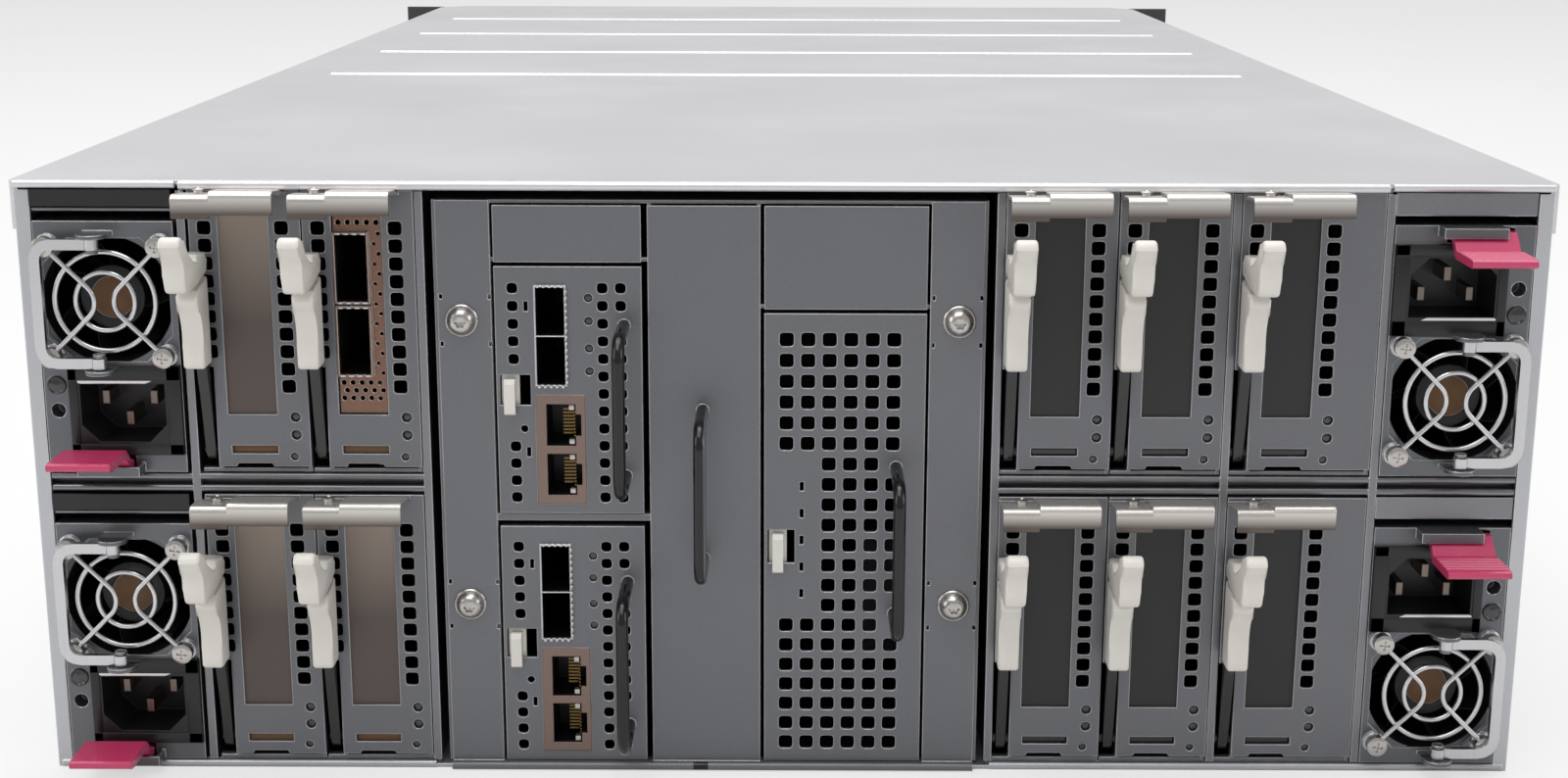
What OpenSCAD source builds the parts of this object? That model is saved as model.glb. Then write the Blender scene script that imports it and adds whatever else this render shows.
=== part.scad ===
// Blade server chassis, four rack units high. The rear carries four power supplies,
// ten card cartridges and an I/O tray. The front carries four blades.
// X runs across the rear face, Y from the rear to the front, Z up. Sizes are in millimetres.

/* [Overall] */
// Depth of the chassis, from its rear face to its front face
body_d = 793; // [640:1:960]
// Thickness of the chassis sheet
sheet = 1.2; // [1:0.1:1.5]
// Depth of the rear bays
bay_d = 190; // [160:1:240]
// Running clearance between a module and its bay
clear = 0.3; // [0.2:0.05:0.5]

/* [Rack ears] */
// Width over the rack ears
ear_span = 482.6; // [470:0.1:560]
// Distance between the two columns of rack screws
ear_pitch_x = 465.1; // [455:0.1:545]
// Distance between the upper and lower rack screws
ear_pitch_z = 133.35; // [100:0.05:160]
// Diameter of a rack screw hole
ear_hole = 7; // [6:0.1:8]
// Thickness of an ear
ear_t = 2; // [1.5:0.1:3]

/* [Power supplies] */
// Width of a power supply
psu_w = 39.8; // [38:0.1:50]
// Height of a power supply
psu_h = 73.5; // [72:0.1:90]
// Distance between the fan screws
fan_pitch = 32; // [30:0.1:33]
// Radius of the fan rotor
rotor_r = 17.2; // [15:0.1:17.6]
// Number of fan blades
fan_blades = 7; // [5:1:9]
// Diameter of the fan guard wire
guard_wire = 1.5; // [1.2:0.1:1.8]
// Width of the bail strip
bail_w = 3; // [2.5:0.1:3.4]

/* [Cartridges] */
// Width of a narrow card cartridge
cart_w = 31.6; // [30:0.1:40]
// Width of the wide card cartridge
wide_cart_w = 40.4; // [38:0.1:52]
// Distance between neighbouring vents of a cartridge
cart_vent_pitch = 5.12; // [5:0.02:5.6]
// Side of a cartridge vent
cart_vent = 4; // [3:0.1:4.4]
// Width of the moulded lever
lever_w = 6; // [4.8:0.1:7]

/* [I/O tray] */
// Width of the I/O tray
tray_w = 155.6; // [150:0.1:200]
// Width of a network module
net_w = 42; // [41:0.1:52]
// Height of a network module
net_h = 73; // [72:0.1:80]
// Width of the management module
mgmt_w = 46.4; // [45:0.1:56]
// Diameter of the wire of a pull handle
handle_wire = 3.6; // [3:0.1:4.4]
// Reach of a pull handle in front of its face
handle_reach = 24; // [18:0.5:30]
// Distance between the feet of a pull handle
handle_pitch = 44.6; // [36:0.1:54]

/* [Blades] */
// Number of blades
blade_count = 4; // [4:1:4]
// Distance across the points of half a hexagonal vent in a blade's face
blade_vent_r = 4.6; // [4:0.1:6]

/* [Hidden] */
$fn = 32;
overlap = 0.01;
pin_clear = 0.05;

// Widths across the rear, from the left wall to the right wall
edge_flange = 5.4;
divider = 1.1;
psu_gap = 1.8;
lever_gap = 1.6;
cart_gap = 0.5;
divider_gap = 0.9;
tray_gap = 4;
across_psu_left = edge_flange;
across_divider_1 = across_psu_left + psu_w + psu_gap;
across_cart_1 = across_divider_1 + divider + lever_gap;
across_cart_2 = across_cart_1 + cart_w + cart_gap;
across_divider_2 = across_cart_2 + cart_w + divider_gap;
across_tray = across_divider_2 + divider + tray_gap;
across_divider_3 = across_tray + tray_w + tray_gap;
across_cart_3 = across_divider_3 + divider + divider_gap;
across_cart_4 = across_cart_3 + cart_w + cart_gap;
across_divider_4 = across_cart_4 + cart_w + divider_gap;
across_cart_5 = across_divider_4 + divider + divider_gap;
across_divider_5 = across_cart_5 + wide_cart_w + divider_gap;
across_psu_right = across_divider_5 + divider + divider_gap;
body_w = across_psu_right + psu_w + edge_flange;

psu_centre = [across_psu_left + psu_w / 2 - body_w / 2, across_psu_right + psu_w / 2 - body_w / 2];
divider_x = [for (s = [across_divider_1, across_divider_2, across_divider_3, across_divider_4, across_divider_5])
    s - body_w / 2];
cart_x = [for (s = [across_cart_1, across_cart_2, across_cart_3, across_cart_4, across_cart_5]) s - body_w / 2];
cart_width = [cart_w, cart_w, cart_w, cart_w, wide_cart_w];
tray_x = across_tray - body_w / 2;

// Heights of one row, measured from the row's own base
row_pitch = max(psu_h + 15.7, net_h + 16.2);
body_h = 2 * row_pitch - 1.4;
row_base = [0, row_pitch];
floor_top = 2.2;
psu_z = floor_top + 0.4;
cart_foot = floor_top + 0.4;
bezel_z0 = 4.3;
bezel_z1 = row_pitch - 4.2;
label_z1 = row_pitch - 4;
label_z0 = label_z1 - 5.1;
label_guide = label_z0 - 0.8;
ceiling_z = row_pitch - 3.6;

// Reach of the pieces that stand out behind and in front of the body
lever_reach = 31;
blade_lever_t = 7;
blade_hinge_out = 7.2;
midplane_y = bay_d + 15;
midplane_t = 3;
blade_y = midplane_y + midplane_t + 4;
blade_face_y = body_d - 1.6;
front_reach = blade_hinge_out + blade_lever_t / 2 - body_d + blade_face_y;
rear_y = -(body_d + front_reach - lever_reach) / 2;

// Cover
skirt = 1;
skirt_h = 14;
cover_t = 1.2;
wall_x = body_w / 2 - skirt;
bead_count = 4;
bead_first = 0.41 * body_d;
bead_pitch = 0.146 * body_d;
bead_half = body_w / 2 - 23;
bead_w = 9;
bead_deep = 1.6;

rows = ["lower", "upper"];
sides = ["left", "right"];

// ---------------------------------------------------------------- helpers

// Places a shape drawn from the rear face into the part's own frame
module place() translate([0, rear_y, 0]) children();

// A block between two corners
module block(x0, x1, y0, y1, z0, z1) translate([x0, y0, z0]) cube([x1 - x0, y1 - y0, z1 - z0]);

// An upright sheet of thickness t whose outline is drawn in X and Z, with its rear face at y
module upright(y, t) translate([0, y + t, 0]) rotate([90, 0, 0]) linear_extrude(t) children();

// A bar along X whose outline is drawn in Y and Z
module along_x(x0, x1) translate([x0, 0, 0]) rotate([90, 0, 90]) linear_extrude(x1 - x0) children();

// A round pin along each axis
module pin_x(x0, x1, y, z, r) translate([x0, y, z]) rotate([0, 90, 0]) cylinder(h = x1 - x0, r = r);
module pin_y(x, y0, y1, z, r) translate([x, y0, z]) rotate([-90, 0, 0]) cylinder(h = y1 - y0, r = r);
module pin_z(x, y, z0, z1, r) translate([x, y, z0]) cylinder(h = z1 - z0, r = r);

function arc(cx, cy, r, a0, a1, n = 4) =
    [for (i = [0:n]) [cx + r * cos(a0 + (a1 - a0) * i / n), cy + r * sin(a0 + (a1 - a0) * i / n)]];
function rect(x0, x1, z0, z1) = [[x0, z0], [x1, z0], [x1, z1], [x0, z1]];
function disc(cx, cy, r, n = 16) = [for (i = [0:n - 1]) [cx + r * cos(360 * i / n), cy + r * sin(360 * i / n)]];
// A rectangle w by h about a centre, with rounded corners
function soft_rect(cx, cy, w, h, r, n = 2) = concat(
    arc(cx + w / 2 - r, cy + h / 2 - r, r, 0, 90, n), arc(cx - w / 2 + r, cy + h / 2 - r, r, 90, 180, n),
    arc(cx - w / 2 + r, cy - h / 2 + r, r, 180, 270, n), arc(cx + w / 2 - r, cy - h / 2 + r, r, 270, 360, n));

function loop_starts(loops, i = 0, s = 0) =
    i >= len(loops) ? [] : concat([s], loop_starts(loops, i + 1, s + len(loops[i])));
// A flat blank: the first loop is its outline and the others are its holes
module blank(loops) {
    start = loop_starts(loops);
    polygon([for (l = loops) each l], [for (i = [0:len(loops) - 1]) [for (j = [0:len(loops[i]) - 1]) start[i] + j]]);
}

// A sheet lip rolled to a round edge along X
module rolled_lip(x0, x1, y, z, r = 1.1) pin_x(x0, x1, y, z, r);

// A bent wire handle with two feet on a face at y = 0, standing out towards -Y
module wire_handle(x, z0, pitch, reach, wire) {
    bend = wire * 1.6;
    r = wire / 2;
    for (s = [0, 1]) translate([x, 0, z0 + s * pitch]) mirror([0, 0, s]) {
        pin_y(0, -reach + bend, 1, 0, r);
        translate([0, -reach + bend, bend]) rotate([90, 0, 90]) rotate([0, 0, 180])
            rotate_extrude(angle = 90) translate([bend, 0]) circle(r);
        pin_z(0, -reach, bend, pitch / 2, r);
    }
}

// ---------------------------------------------------------------- chassis

module chassis_shell() color("silver") place() {
    h = body_h - cover_t;
    block(-wall_x, wall_x, 0, body_d, 0, sheet);
    for (s = [0, 1]) mirror([s, 0, 0]) {
        block(-wall_x, -wall_x + sheet, 0, body_d, 0, h);
        block(-wall_x, -body_w / 2 + edge_flange - clear, 0, sheet, 0, h - 1.6);
    }
    rolled_lip(-wall_x + sheet, divider_x[1], 0.4, 1.1);
    rolled_lip(divider_x[2] + divider, wall_x - sheet, 0.4, 1.1);
}

// The cover's top sheet with its pressed beads, its side skirts and its rolled rear edge
module top_cover() color("gainsboro") place() {
    top = body_h;
    nose = 14;
    difference() {
        union() {
            translate([0, 0, top - cover_t]) linear_extrude(cover_t)
                polygon([[-body_w / 2, 0], [body_w / 2, 0], [body_w / 2, body_d - nose],
                    [body_w / 2 - nose, body_d], [-body_w / 2 + nose, body_d], [-body_w / 2, body_d - nose]]);
            for (i = [0:bead_count - 1]) bead(bead_first + i * bead_pitch, top - cover_t, cover_t);
        }
        for (i = [0:bead_count - 1]) bead(bead_first + i * bead_pitch, top, 0);
    }
    for (s = [0, 1]) mirror([s, 0, 0])
        block(-body_w / 2, -body_w / 2 + skirt, 0, body_d - nose, top - skirt_h, top - cover_t + overlap);
    for (s = [0, 1]) mirror([s, 0, 0]) pin_x(-body_w / 2 + 1, divider_x[0] - 0.4, -0.3, top - 1.1, 1.1);
    pin_x(divider_x[0] + 0.8, -divider_x[0] - 0.8, -0.5, top - 1.3, 1.3);
}

// One pressed bead across the cover: a trough of equal depth below z, widened by grow
module bead(y, z, grow) {
    half = bead_w / 2 + grow;
    along_x(-bead_half - grow, bead_half + grow)
        polygon([[y - half, z + overlap], [y + half, z + overlap], [y + half - bead_deep, z - bead_deep],
            [y - half + bead_deep, z - bead_deep]]);
}

module rack_ears() color("dimgray") place() {
    for (s = [0, 1]) mirror([s, 0, 0]) difference() {
        union() {
            block(body_w / 2, ear_span / 2, body_d - ear_t, body_d, 0.5, body_h - 0.5);
            block(body_w / 2, body_w / 2 + ear_t, body_d - 44, body_d - ear_t + overlap, 8, body_h - 8);
        }
        for (t = [-1, 1])
            pin_y(ear_pitch_x / 2, body_d - ear_t - 1, body_d + 1, body_h / 2 + t * ear_pitch_z / 2, ear_hole / 2);
    }
}

// Upright dividers, shelves and lips that form the rear bays
module bay_frame() color("darkgray") place() {
    wall = wall_x - sheet - clear;
    edge = body_w / 2 - edge_flange;
    lip_r = 1.1;
    for (i = [0:4]) {
        x = divider_x[i];
        block(x, x + divider, 1.7, bay_d, sheet, body_h - cover_t - 0.4);
        block(x - 0.6, x + divider + 0.6, 0.2, 1.8, sheet + 1.4, body_h - 3);
    }
    for (side = [[-wall, -edge, divider_x[1] + divider, divider_x[1] + divider],
        [divider_x[2], divider_x[2], edge, wall]]) {
        x0 = side[0];
        x1 = side[3];
        lip_x0 = side[1];
        lip_x1 = side[2];
        for (z = row_base) block(x0, x1, 1.7, bay_d, z + floor_top - 1, z + floor_top);
        block(x0, x1, 1.7, bay_d, ceiling_z, ceiling_z + 1);
        block(x0, x1, 4, 5, ceiling_z, row_pitch + floor_top);
        rolled_lip(lip_x0, lip_x1, 1.3, row_pitch + floor_top - lip_r, lip_r);
        rolled_lip(lip_x0, lip_x1, 1.3, ceiling_z + lip_r, lip_r);
    }
    for (z = row_base) {
        block(-wall, divider_x[0] + overlap, 1.7, 72, z + label_guide, z + label_guide + 0.8);
        rolled_lip(-edge, divider_x[0] + overlap, 1.4, z + label_guide + 0.1, 0.7);
        block(divider_x[4] + divider - overlap, wall, 1.7, 72, z + label_guide, z + label_guide + 0.8);
        block(divider_x[4] + divider + 0.8, edge, 0.4, 1.8, z + label_guide - 0.6, z + label_z1);
    }
}

// The board that joins the rear modules to the blades
module midplane_board() color("darkgreen") place() {
    block(-wall_x + sheet + clear, wall_x - sheet - clear, midplane_y, midplane_y + midplane_t, sheet, body_h - 4);
    for (z = row_base) {
        for (x = psu_centre) block(x - 14, x + 14, bay_d + clear, midplane_y + overlap, z + 28, z + 40);
        for (i = [0:4]) block(cart_x[i] + 8, cart_x[i] + 20, bay_d + clear, midplane_y + overlap, z + 22, z + 62);
    }
    block(tray_x + 20, tray_x + 52, bay_d + clear, midplane_y + overlap, 22, body_h - 40);
    block(tray_x + 100, tray_x + 132, bay_d + clear, midplane_y + overlap, 22, body_h - 60);
}

// A slide-out strip in the slot above a left power supply
module label_tab(row) color("#202022") place() {
    z = row_base[row];
    x0 = -body_w / 2 + edge_flange;
    x1 = x0 + psu_w;
    block(x0, x1, -0.6, 0.9, z + label_z0 + clear, z + label_z1);
    block(x0 + 1, x1 - 1, 0.8, 60, z + label_z0 + clear, z + label_z0 + clear + 1);
    block(x0 + 1, x1 - 1, 59, 60, z + label_z0 + clear, z + label_z1 - 1.2);
}

// ---------------------------------------------------------------- power supplies

// A power supply is drawn about the bottom centre of its face.
fan_z = psu_h - 22.8;
fan_frame_d = 28;
inlet_x0 = psu_w / 2 - 32.6;
inlet_z0 = 5.4;
inlet_z1 = 31.8;
socket_x = 2.7;
socket_z = 17.8;
socket_w = 24.4;
socket_h = 17.2;
socket_deep = 17;
tab_x0 = -13.3;
tab_w = 18;
latch_pivot = [12, 2.5];
bail_y0 = -6.9;
bail_t = 1.9;
bail_pivot_x = -1.5;
bail_pin_r = 1.1;
bail_half = 18.6;
bail_out = 19.2;
fan_pin_r = 2;

// Puts a power supply into its bay. The right-hand ones stand on their heads.
module psu_place(row, side) {
    z = row_base[row] + psu_z;
    place() translate([psu_centre[side], 0, side == 0 ? z : z + psu_h]) rotate([0, side == 0 ? 0 : 180, 0]) children();
}

function inlet_loop() = let (w = socket_w / 2, h = socket_h / 2, c = 5)
    [[socket_x - w, socket_z + h], [socket_x - w, socket_z - h + c], [socket_x - w + c, socket_z - h],
     [socket_x + w - c, socket_z - h], [socket_x + w, socket_z - h + c], [socket_x + w, socket_z + h]];

// Fan opening: a square with its corners cut for the screws
function fan_loop(half, cut) = [for (k = [[1, 1], [-1, 1], [-1, -1], [1, -1]])
    each (k[0] * k[1] > 0
        ? [[k[0] * half, fan_z + k[1] * (half - cut)], [k[0] * (half - cut), fan_z + k[1] * half]]
        : [[k[0] * (half - cut), fan_z + k[1] * half], [k[0] * half, fan_z + k[1] * (half - cut)]])];

module psu_case(row, side) color("lightslategray") psu_place(row, side) {
    half = psu_w / 2;
    back = bay_d - 1;
    difference() {
        union() {
            upright(0, 1) blank([rect(-half, half, 0, psu_h), fan_loop(17.9, 7.5), disc(-16.2, 18.3, 2.1),
                rect(tab_x0 - 0.5, tab_x0 + tab_w + 0.5, 0.6, 5)]);
            block(-half, half, 1 - overlap, back, 0, psu_h);
            block(inlet_x0, half - 0.3, -0.8, 1, inlet_z0, inlet_z1);
        }
        // fan chamber, inlet socket, latch channel and the room behind the fan
        pin_y(0, 0.9, 4 + fan_frame_d, fan_z, rotor_r + 1.3);
        upright(-1, socket_deep) blank([inlet_loop()]);
        block(tab_x0 - 0.5, tab_x0 + tab_w + 0.5, -1, 22, 0.6, 5);
        pin_y(-16.2, -1, 6, 18.3, 2.1);
        block(-half + 1, half - 1, 3 + fan_frame_d, back - 1, 1, psu_h - 1);
    }
    for (s = [-1, 1]) block(socket_x + s * 7 - 1, socket_x + s * 7 + 1, 6.2, socket_deep, socket_z + 1, socket_z + 5);
    block(socket_x - 1, socket_x + 1, 5.2, socket_deep, socket_z - 5, socket_z - 1);
    pin_y(-16.2, -0.5, 1, 25.8, 2.8);
    pin_x(tab_x0 - 0.6, tab_x0 + tab_w + 0.6, latch_pivot[0], latch_pivot[1], 0.9);
    fan_carrier();
    fan_guard();
    bail_lugs();
    latch_hood();
}

// Spokes and pin that carry the rotor
module fan_carrier() {
    y1 = 1 + fan_frame_d + overlap;
    pin_y(0, y1 - 3, y1, fan_z, 9.5);
    pin_y(0, 7, y1 - 2, fan_z, fan_pin_r);
    for (a = [90, 210, 330]) translate([0, 0, fan_z]) rotate([0, a, 0]) block(6, rotor_r + 1.8, y1 - 2.6, y1 - 0.4, -1.2, 1.2);
}

// Two wire rings and two bent wires that run to the four screws
module fan_guard() {
    r = guard_wire / 2;
    bend = 6;
    vertex = 2.8;
    at = fan_pitch / 2;
    translate([0, 0, fan_z]) rotate([90, 0, 0]) {
        for (ring = [14.3, 8.4]) translate([0, 0, 1.7]) rotate_extrude() translate([ring, 0]) circle(r);
        for (s = [0, 1]) mirror([s, 0, 0]) translate([-vertex - bend, 0, 2.7]) {
            rotate([0, 0, -45]) rotate_extrude(angle = 90) translate([bend, 0]) circle(r);
            for (m = [0, 1]) mirror([0, m, 0]) rotate([0, 0, 45]) translate([bend, 0, 0]) rotate([-90, 0, 0])
                cylinder(h = (at - vertex - bend * (1 - cos(45))) * sqrt(2) - 2.6, r = r);
        }
        for (x = [-at, at]) for (z = [-at, at]) translate([x, z, 0]) {
            cylinder(h = 0.8, r = 3.2);
            cylinder(h = 3, r = 1.5);
            translate([0, 0, 1.45]) rotate_extrude() translate([1.3 + r, 0]) circle(r);
            translate([0, 0, 2.1]) cylinder(h = 2.2, r = 2.9);
        }
    }
}

// Two ledges with the rivets that the bail turns on
module bail_lugs() {
    y = bail_y0 + bail_t / 2;
    for (s = [-1, 1]) {
        z0 = fan_z + s * (bail_half + 0.9) - 0.6;
        block(bail_pivot_x - 4.2, bail_pivot_x + 4.2, y, overlap, z0, z0 + 1.2);
        pin_z(bail_pivot_x, y, z0, z0 + 1.2, 4.2);
        inner = fan_z + s * (bail_half - bail_w - 0.3);
        pin_z(bail_pivot_x, y, min(inner, z0), max(inner, z0), bail_pin_r);
        pin_z(bail_pivot_x, y, inner - (s > 0 ? 0.8 : 0), inner + (s > 0 ? 0 : 0.8), 1.7);
    }
}

// The bent lip that shields the release latch
module latch_hood() {
    x0 = tab_x0 + 3;
    x1 = tab_x0 + tab_w + 3;
    block(x0, x1, -6, overlap, 0, 0.6);
    block(x0, x1, -6, -5.2, 0, 2.9);
    block(x1 - 0.8, x1, -6, overlap, 0, 2.9);
}

module psu_fan(row, side) color("#303033") psu_place(row, side) translate([0, 0, fan_z]) difference() {
    union() {
        pin_y(0, 5, 24, 0, 9.6);
        for (i = [0:fan_blades - 1]) rotate([0, i * 360 / fan_blades, 0]) translate([8.6, 14.5, 0])
            rotate([38, 0, 0]) block(0, rotor_r - 9, -9, 9, -0.6, 0.6);
    }
    pin_y(0, 6.6, 25, 0, fan_pin_r + pin_clear);
}

// The flat strip that a hand pulls, bent to a C and folded against the fan
module psu_bail(row, side) color("gainsboro") psu_place(row, side) {
    r = 6;
    x0 = -bail_out;
    z0 = fan_z - bail_half;
    z1 = fan_z + bail_half;
    w = bail_w;
    x1 = bail_pivot_x;
    difference() {
        union() {
            upright(bail_y0, bail_t) polygon(concat(
                [[x1, z0], [x1, z0 + w]], arc(x0 + r, z0 + r, r - w, 270, 180), arc(x0 + r, z1 - r, r - w, 180, 90),
                [[x1, z1 - w], [x1, z1]], arc(x0 + r, z1 - r, r, 90, 180), arc(x0 + r, z0 + r, r, 180, 270)));
            for (z = [z0, z1 - w]) pin_z(x1, bail_y0 + bail_t / 2, z, z + w, 2.1);
        }
        for (z = [z0, z1 - w]) pin_z(x1, bail_y0 + bail_t / 2, z - 1, z + w + 1, bail_pin_r + pin_clear);
    }
}

// The release tab: a stem in the channel, a step and a ribbed thumb plate
module psu_latch(row, side) color("#a01d4d") psu_place(row, side) {
    t = 2.4;
    reach = 22;
    stem_x = tab_x0 + 1;
    difference() {
        union() {
            along_x(tab_x0, tab_x0 + tab_w)
                polygon(concat([[-0.2, 1.4], [-3.4, 1.4], [-8, 6]], [for (k = [0:4]) each
                    [[-10.6 - k * 2.2, 6], [-11.2 - k * 2.2, 5.6], [-11.8 - k * 2.2, 6]]],
                    arc(-reach, 6 + t / 2, t / 2, 270, 90), [[-7.2, 6 + t], [-2.6, 1.4 + t], [-0.2, 1.4 + t]]));
            along_x(stem_x, stem_x + tab_w - 2)
                polygon([[-0.3, 1.5], [latch_pivot[0], 1.5], [latch_pivot[0], 3.5], [-0.3, 3.5]]);
            pin_x(stem_x, stem_x + tab_w - 2, latch_pivot[0], latch_pivot[1], 1.7);
        }
        pin_x(stem_x - 1, stem_x + tab_w, latch_pivot[0], latch_pivot[1], 0.9 + pin_clear);
    }
}

// ---------------------------------------------------------------- cartridges

// A cartridge is drawn from the lower left corner of its bezel's row.
window_x = 8.2;
window_w = 14.2;
window_z0 = 19.9;
window_z1 = row_pitch - 10.2;
vent_z0 = 28.2;
vent_rows = floor((row_pitch - 7.2 - vent_z0) / cart_vent_pitch);
vent_left = 4.3;
vent_right = window_x + 18;
slot_x1 = 4.8;
slot_z1 = 34;
lever_pivot = [4.2, 8.6];
lever_pin_r = 1.5;
clip_x0 = -0.3;
clip_x1 = window_x + 19.4;
clip_step = 10.2;

module cart_place(row, i) place() translate([cart_x[i], 0, row_base[row]]) children();

module cartridge(row, i, open_window = false) color("slategray") cart_place(row, i) {
    w = cart_width[i];
    tall = bezel_z1 - bezel_z0;
    outline = [[0, bezel_z0 + slot_z1 - 4.3], [slot_x1, slot_z1], [slot_x1, bezel_z0], [window_x + 1.6, bezel_z0],
        [window_x + 2.2, bezel_z0 + 1], [window_x + 12, bezel_z0 + 1], [window_x + 12.6, bezel_z0],
        [w, bezel_z0], [w, bezel_z1], [0, bezel_z1]];
    upright(0, 1) blank(concat([outline, rect(window_x, window_x + window_w, window_z0, window_z1)],
        [for (k = [0:vent_rows - 1]) soft_rect(vent_right, vent_z0 + k * cart_vent_pitch, cart_vent, cart_vent, 0.9)],
        [for (k = [2:vent_rows - 1]) soft_rect(vent_left, vent_z0 + k * cart_vent_pitch, cart_vent, cart_vent, 0.9)],
        [disc(window_x + 19.4, 19.1, 1.5), disc(window_x + 19.4, 13.8, 1.5), disc(window_x + 18.6, 7.3, 1.2),
         rect(window_x + 0.6, window_x + 14, 8.2, 10.6)]));
    // folded edges of the bezel and the long tray behind it
    block(0, 0.8, 0.9, 9, slot_z1, bezel_z1);
    block(0, w - 1, 0.9, 12, bezel_z1 - 0.8, bezel_z1);
    block(w - 1, w, 0.9, bay_d - 4, cart_foot, bezel_z1);
    block(0, w, 1, bay_d - 4, cart_foot, cart_foot + 1);
    block(0.4, w, bay_d - 5, bay_d - 4, cart_foot, bezel_z1 - 12);
    // riser board with its edge connector
    block(w - 8.4, w - 6.8, 24, bay_d - 4.5, cart_foot + 0.9, bezel_z1 - 8);
    if (!open_window) block(w - 16, w - 8.2, 60, 132, cart_foot + 0.9, cart_foot + 12);
    // ears and pin that carry the lever
    block(slot_x1, slot_x1 + 0.9, 0.9, 9.5, cart_foot + 0.9, slot_z1);
    pin_x(0.2, slot_x1 + 0.5, lever_pivot[0], lever_pivot[1], lever_pin_r);
    if (!open_window) slot_cover();
    clip();
}

// The blank bracket that closes the card window
module slot_cover() {
    block(window_x - 1.2, window_x + window_w + 1.2, 0.9, 1.8, window_z0 - 1.2, bezel_z1 - 0.4);
}

// The sprung retainer over the card bracket, with its lower left part
module clip() {
    for (part = [[clip_x0, clip_step, -1], [clip_step - overlap, clip_x1, 0]]) translate([0, 0, part[2]])
        along_x(part[0], part[1])
            polygon(concat([[1.2, bezel_z1 - 1], [1.2, bezel_z1 - 0.2], [-2.6, bezel_z1 - 0.2], [-6, bezel_z1 + 1.2]],
                arc(-14.2, bezel_z1 + 0.1, 1.8, 90, 180), [[-16, bezel_z1 - 4.7], [-15.2, bezel_z1 - 4.7]],
                arc(-14.2, bezel_z1 + 0.1, 1, 180, 90), [[-6, bezel_z1 + 0.4], [-2.6, bezel_z1 - 1]]));
    pin_z(clip_step - 4.6, -8, bezel_z1 - 0.4, bezel_z1 + 1.4, 1.3);
}

// A moulded trigger and handle on a dark arm that turns on the cartridge's pin
module cart_lever(row, i) color("ivory") cart_place(row, i) {
    difference() {
        union() {
            along_x(-0.3, lever_w - 0.3) polygon(lever_outline());
            along_x(0.9, 3.9) polygon(concat([[-0.5, 57], [-3.7, 57], [-3.7, 34], [-1.6, 24]],
                arc(lever_pivot[0], lever_pivot[1], 3.4, 170, 370, 8), [[1.6, 24], [-0.5, 34]]));
        }
        pin_x(0, 5, lever_pivot[0], lever_pivot[1], lever_pin_r + pin_clear);
    }
}

// Side view of the moulding in Y and Z: up its back, over the root pad, down into the notch,
// round the trigger's tab, in to the neck, round the handle's lip and down its hollow front
function lever_outline() = concat([[-3.6, 35.6]],
    arc(-6.4, 66, 2.8, 0, 90), arc(-11.4, 67.4, 1.6, 70, 150, 2), arc(-16.2, 69, 2.6, 320, 240),
    [[-22.2, 70.6]], arc(-lever_reach + 2.4, 74, 2.4, 20, 180, 6), arc(-lever_reach - 9.2, 66.6, 13.2, 20, -14),
    arc(-24.6, 61.8, 1.6, 200, 280, 3), [[-13.4, 59.4], [-8.2, 59], [-8.2, 57.9], [-13.4, 57.2]],
    arc(-15.2, 55.8, 1.4, 90, 200), arc(-25.6, 45.4, 13.8, 38, -22, 5), arc(-11.4, 37, 1.4, 190, 270, 3));

// A real card in the second upper cartridge: bracket, two stacked cages and its board
module network_card() color("peru") cart_place(1, 1) {
    x0 = window_x + 0.2;
    x1 = window_x + window_w - 0.2;
    cage_x1 = x0 + 10.2;
    cages = [31.3, 52.6];
    cage_h = 20.6;
    dots = concat(
        [for (k = [0:4]) disc(x0 + 1.6 + k * 2.7, 75.8, 0.8, 8)],
        [for (k = [0:14]) disc(x1 - 1 - (k % 2) * 1.3, 32 + k * 2.9, 0.6, 8)],
        [for (j = [0:2]) for (k = [0:4]) disc(x0 + 1.3 + k * 2.6 + (j % 2) * 0.9, 29.2 - j * 2.3, 0.75, 8)]);
    upright(1.1, 0.8) blank(concat([rect(x0, x1, window_z0 + 0.2, bezel_z1 - 6)],
        [for (z = cages) rect(x0 + 0.6, cage_x1 - 0.6, z + 0.6, z + cage_h - 0.6)], dots));
    for (z = cages) upright(-0.6, 62)
        blank([rect(x0, cage_x1, z, z + cage_h), rect(x0 + 0.6, cage_x1 - 0.6, z + 0.6, z + cage_h - 0.6)]);
    for (z = cages) block(x0, cage_x1, 61, 62, z, z + cage_h);
    block(cage_x1 - overlap, cage_x1 + 1.6, 3, 150, cart_foot + 1.3, bezel_z1 - 10);
}

// ---------------------------------------------------------------- I/O tray

// Tray measures, from the tray's lower left corner
tray_t = 1.2;
tray_top = body_h - 5.4;
net_x = 16.2;
net_z = [2.7, 2.7 + net_h + 4];
mid_x0 = net_x + net_w + 1.8;
mgmt_x = tray_w - mgmt_w - 16;
mid_x1 = mgmt_x - 1.2;
mgmt_z = 2.7;
mgmt_h = body_h - 40.4;
screw_x = [6.7, tray_w - 6.7];
screw_z = [0.292 * body_h, 0.774 * body_h];
mid_handle_x = (mid_x0 + mid_x1) / 2 - 0.6;

module tray_place(x = 0, z = 0) place() translate([tray_x + x, 0, z]) children();

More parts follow.
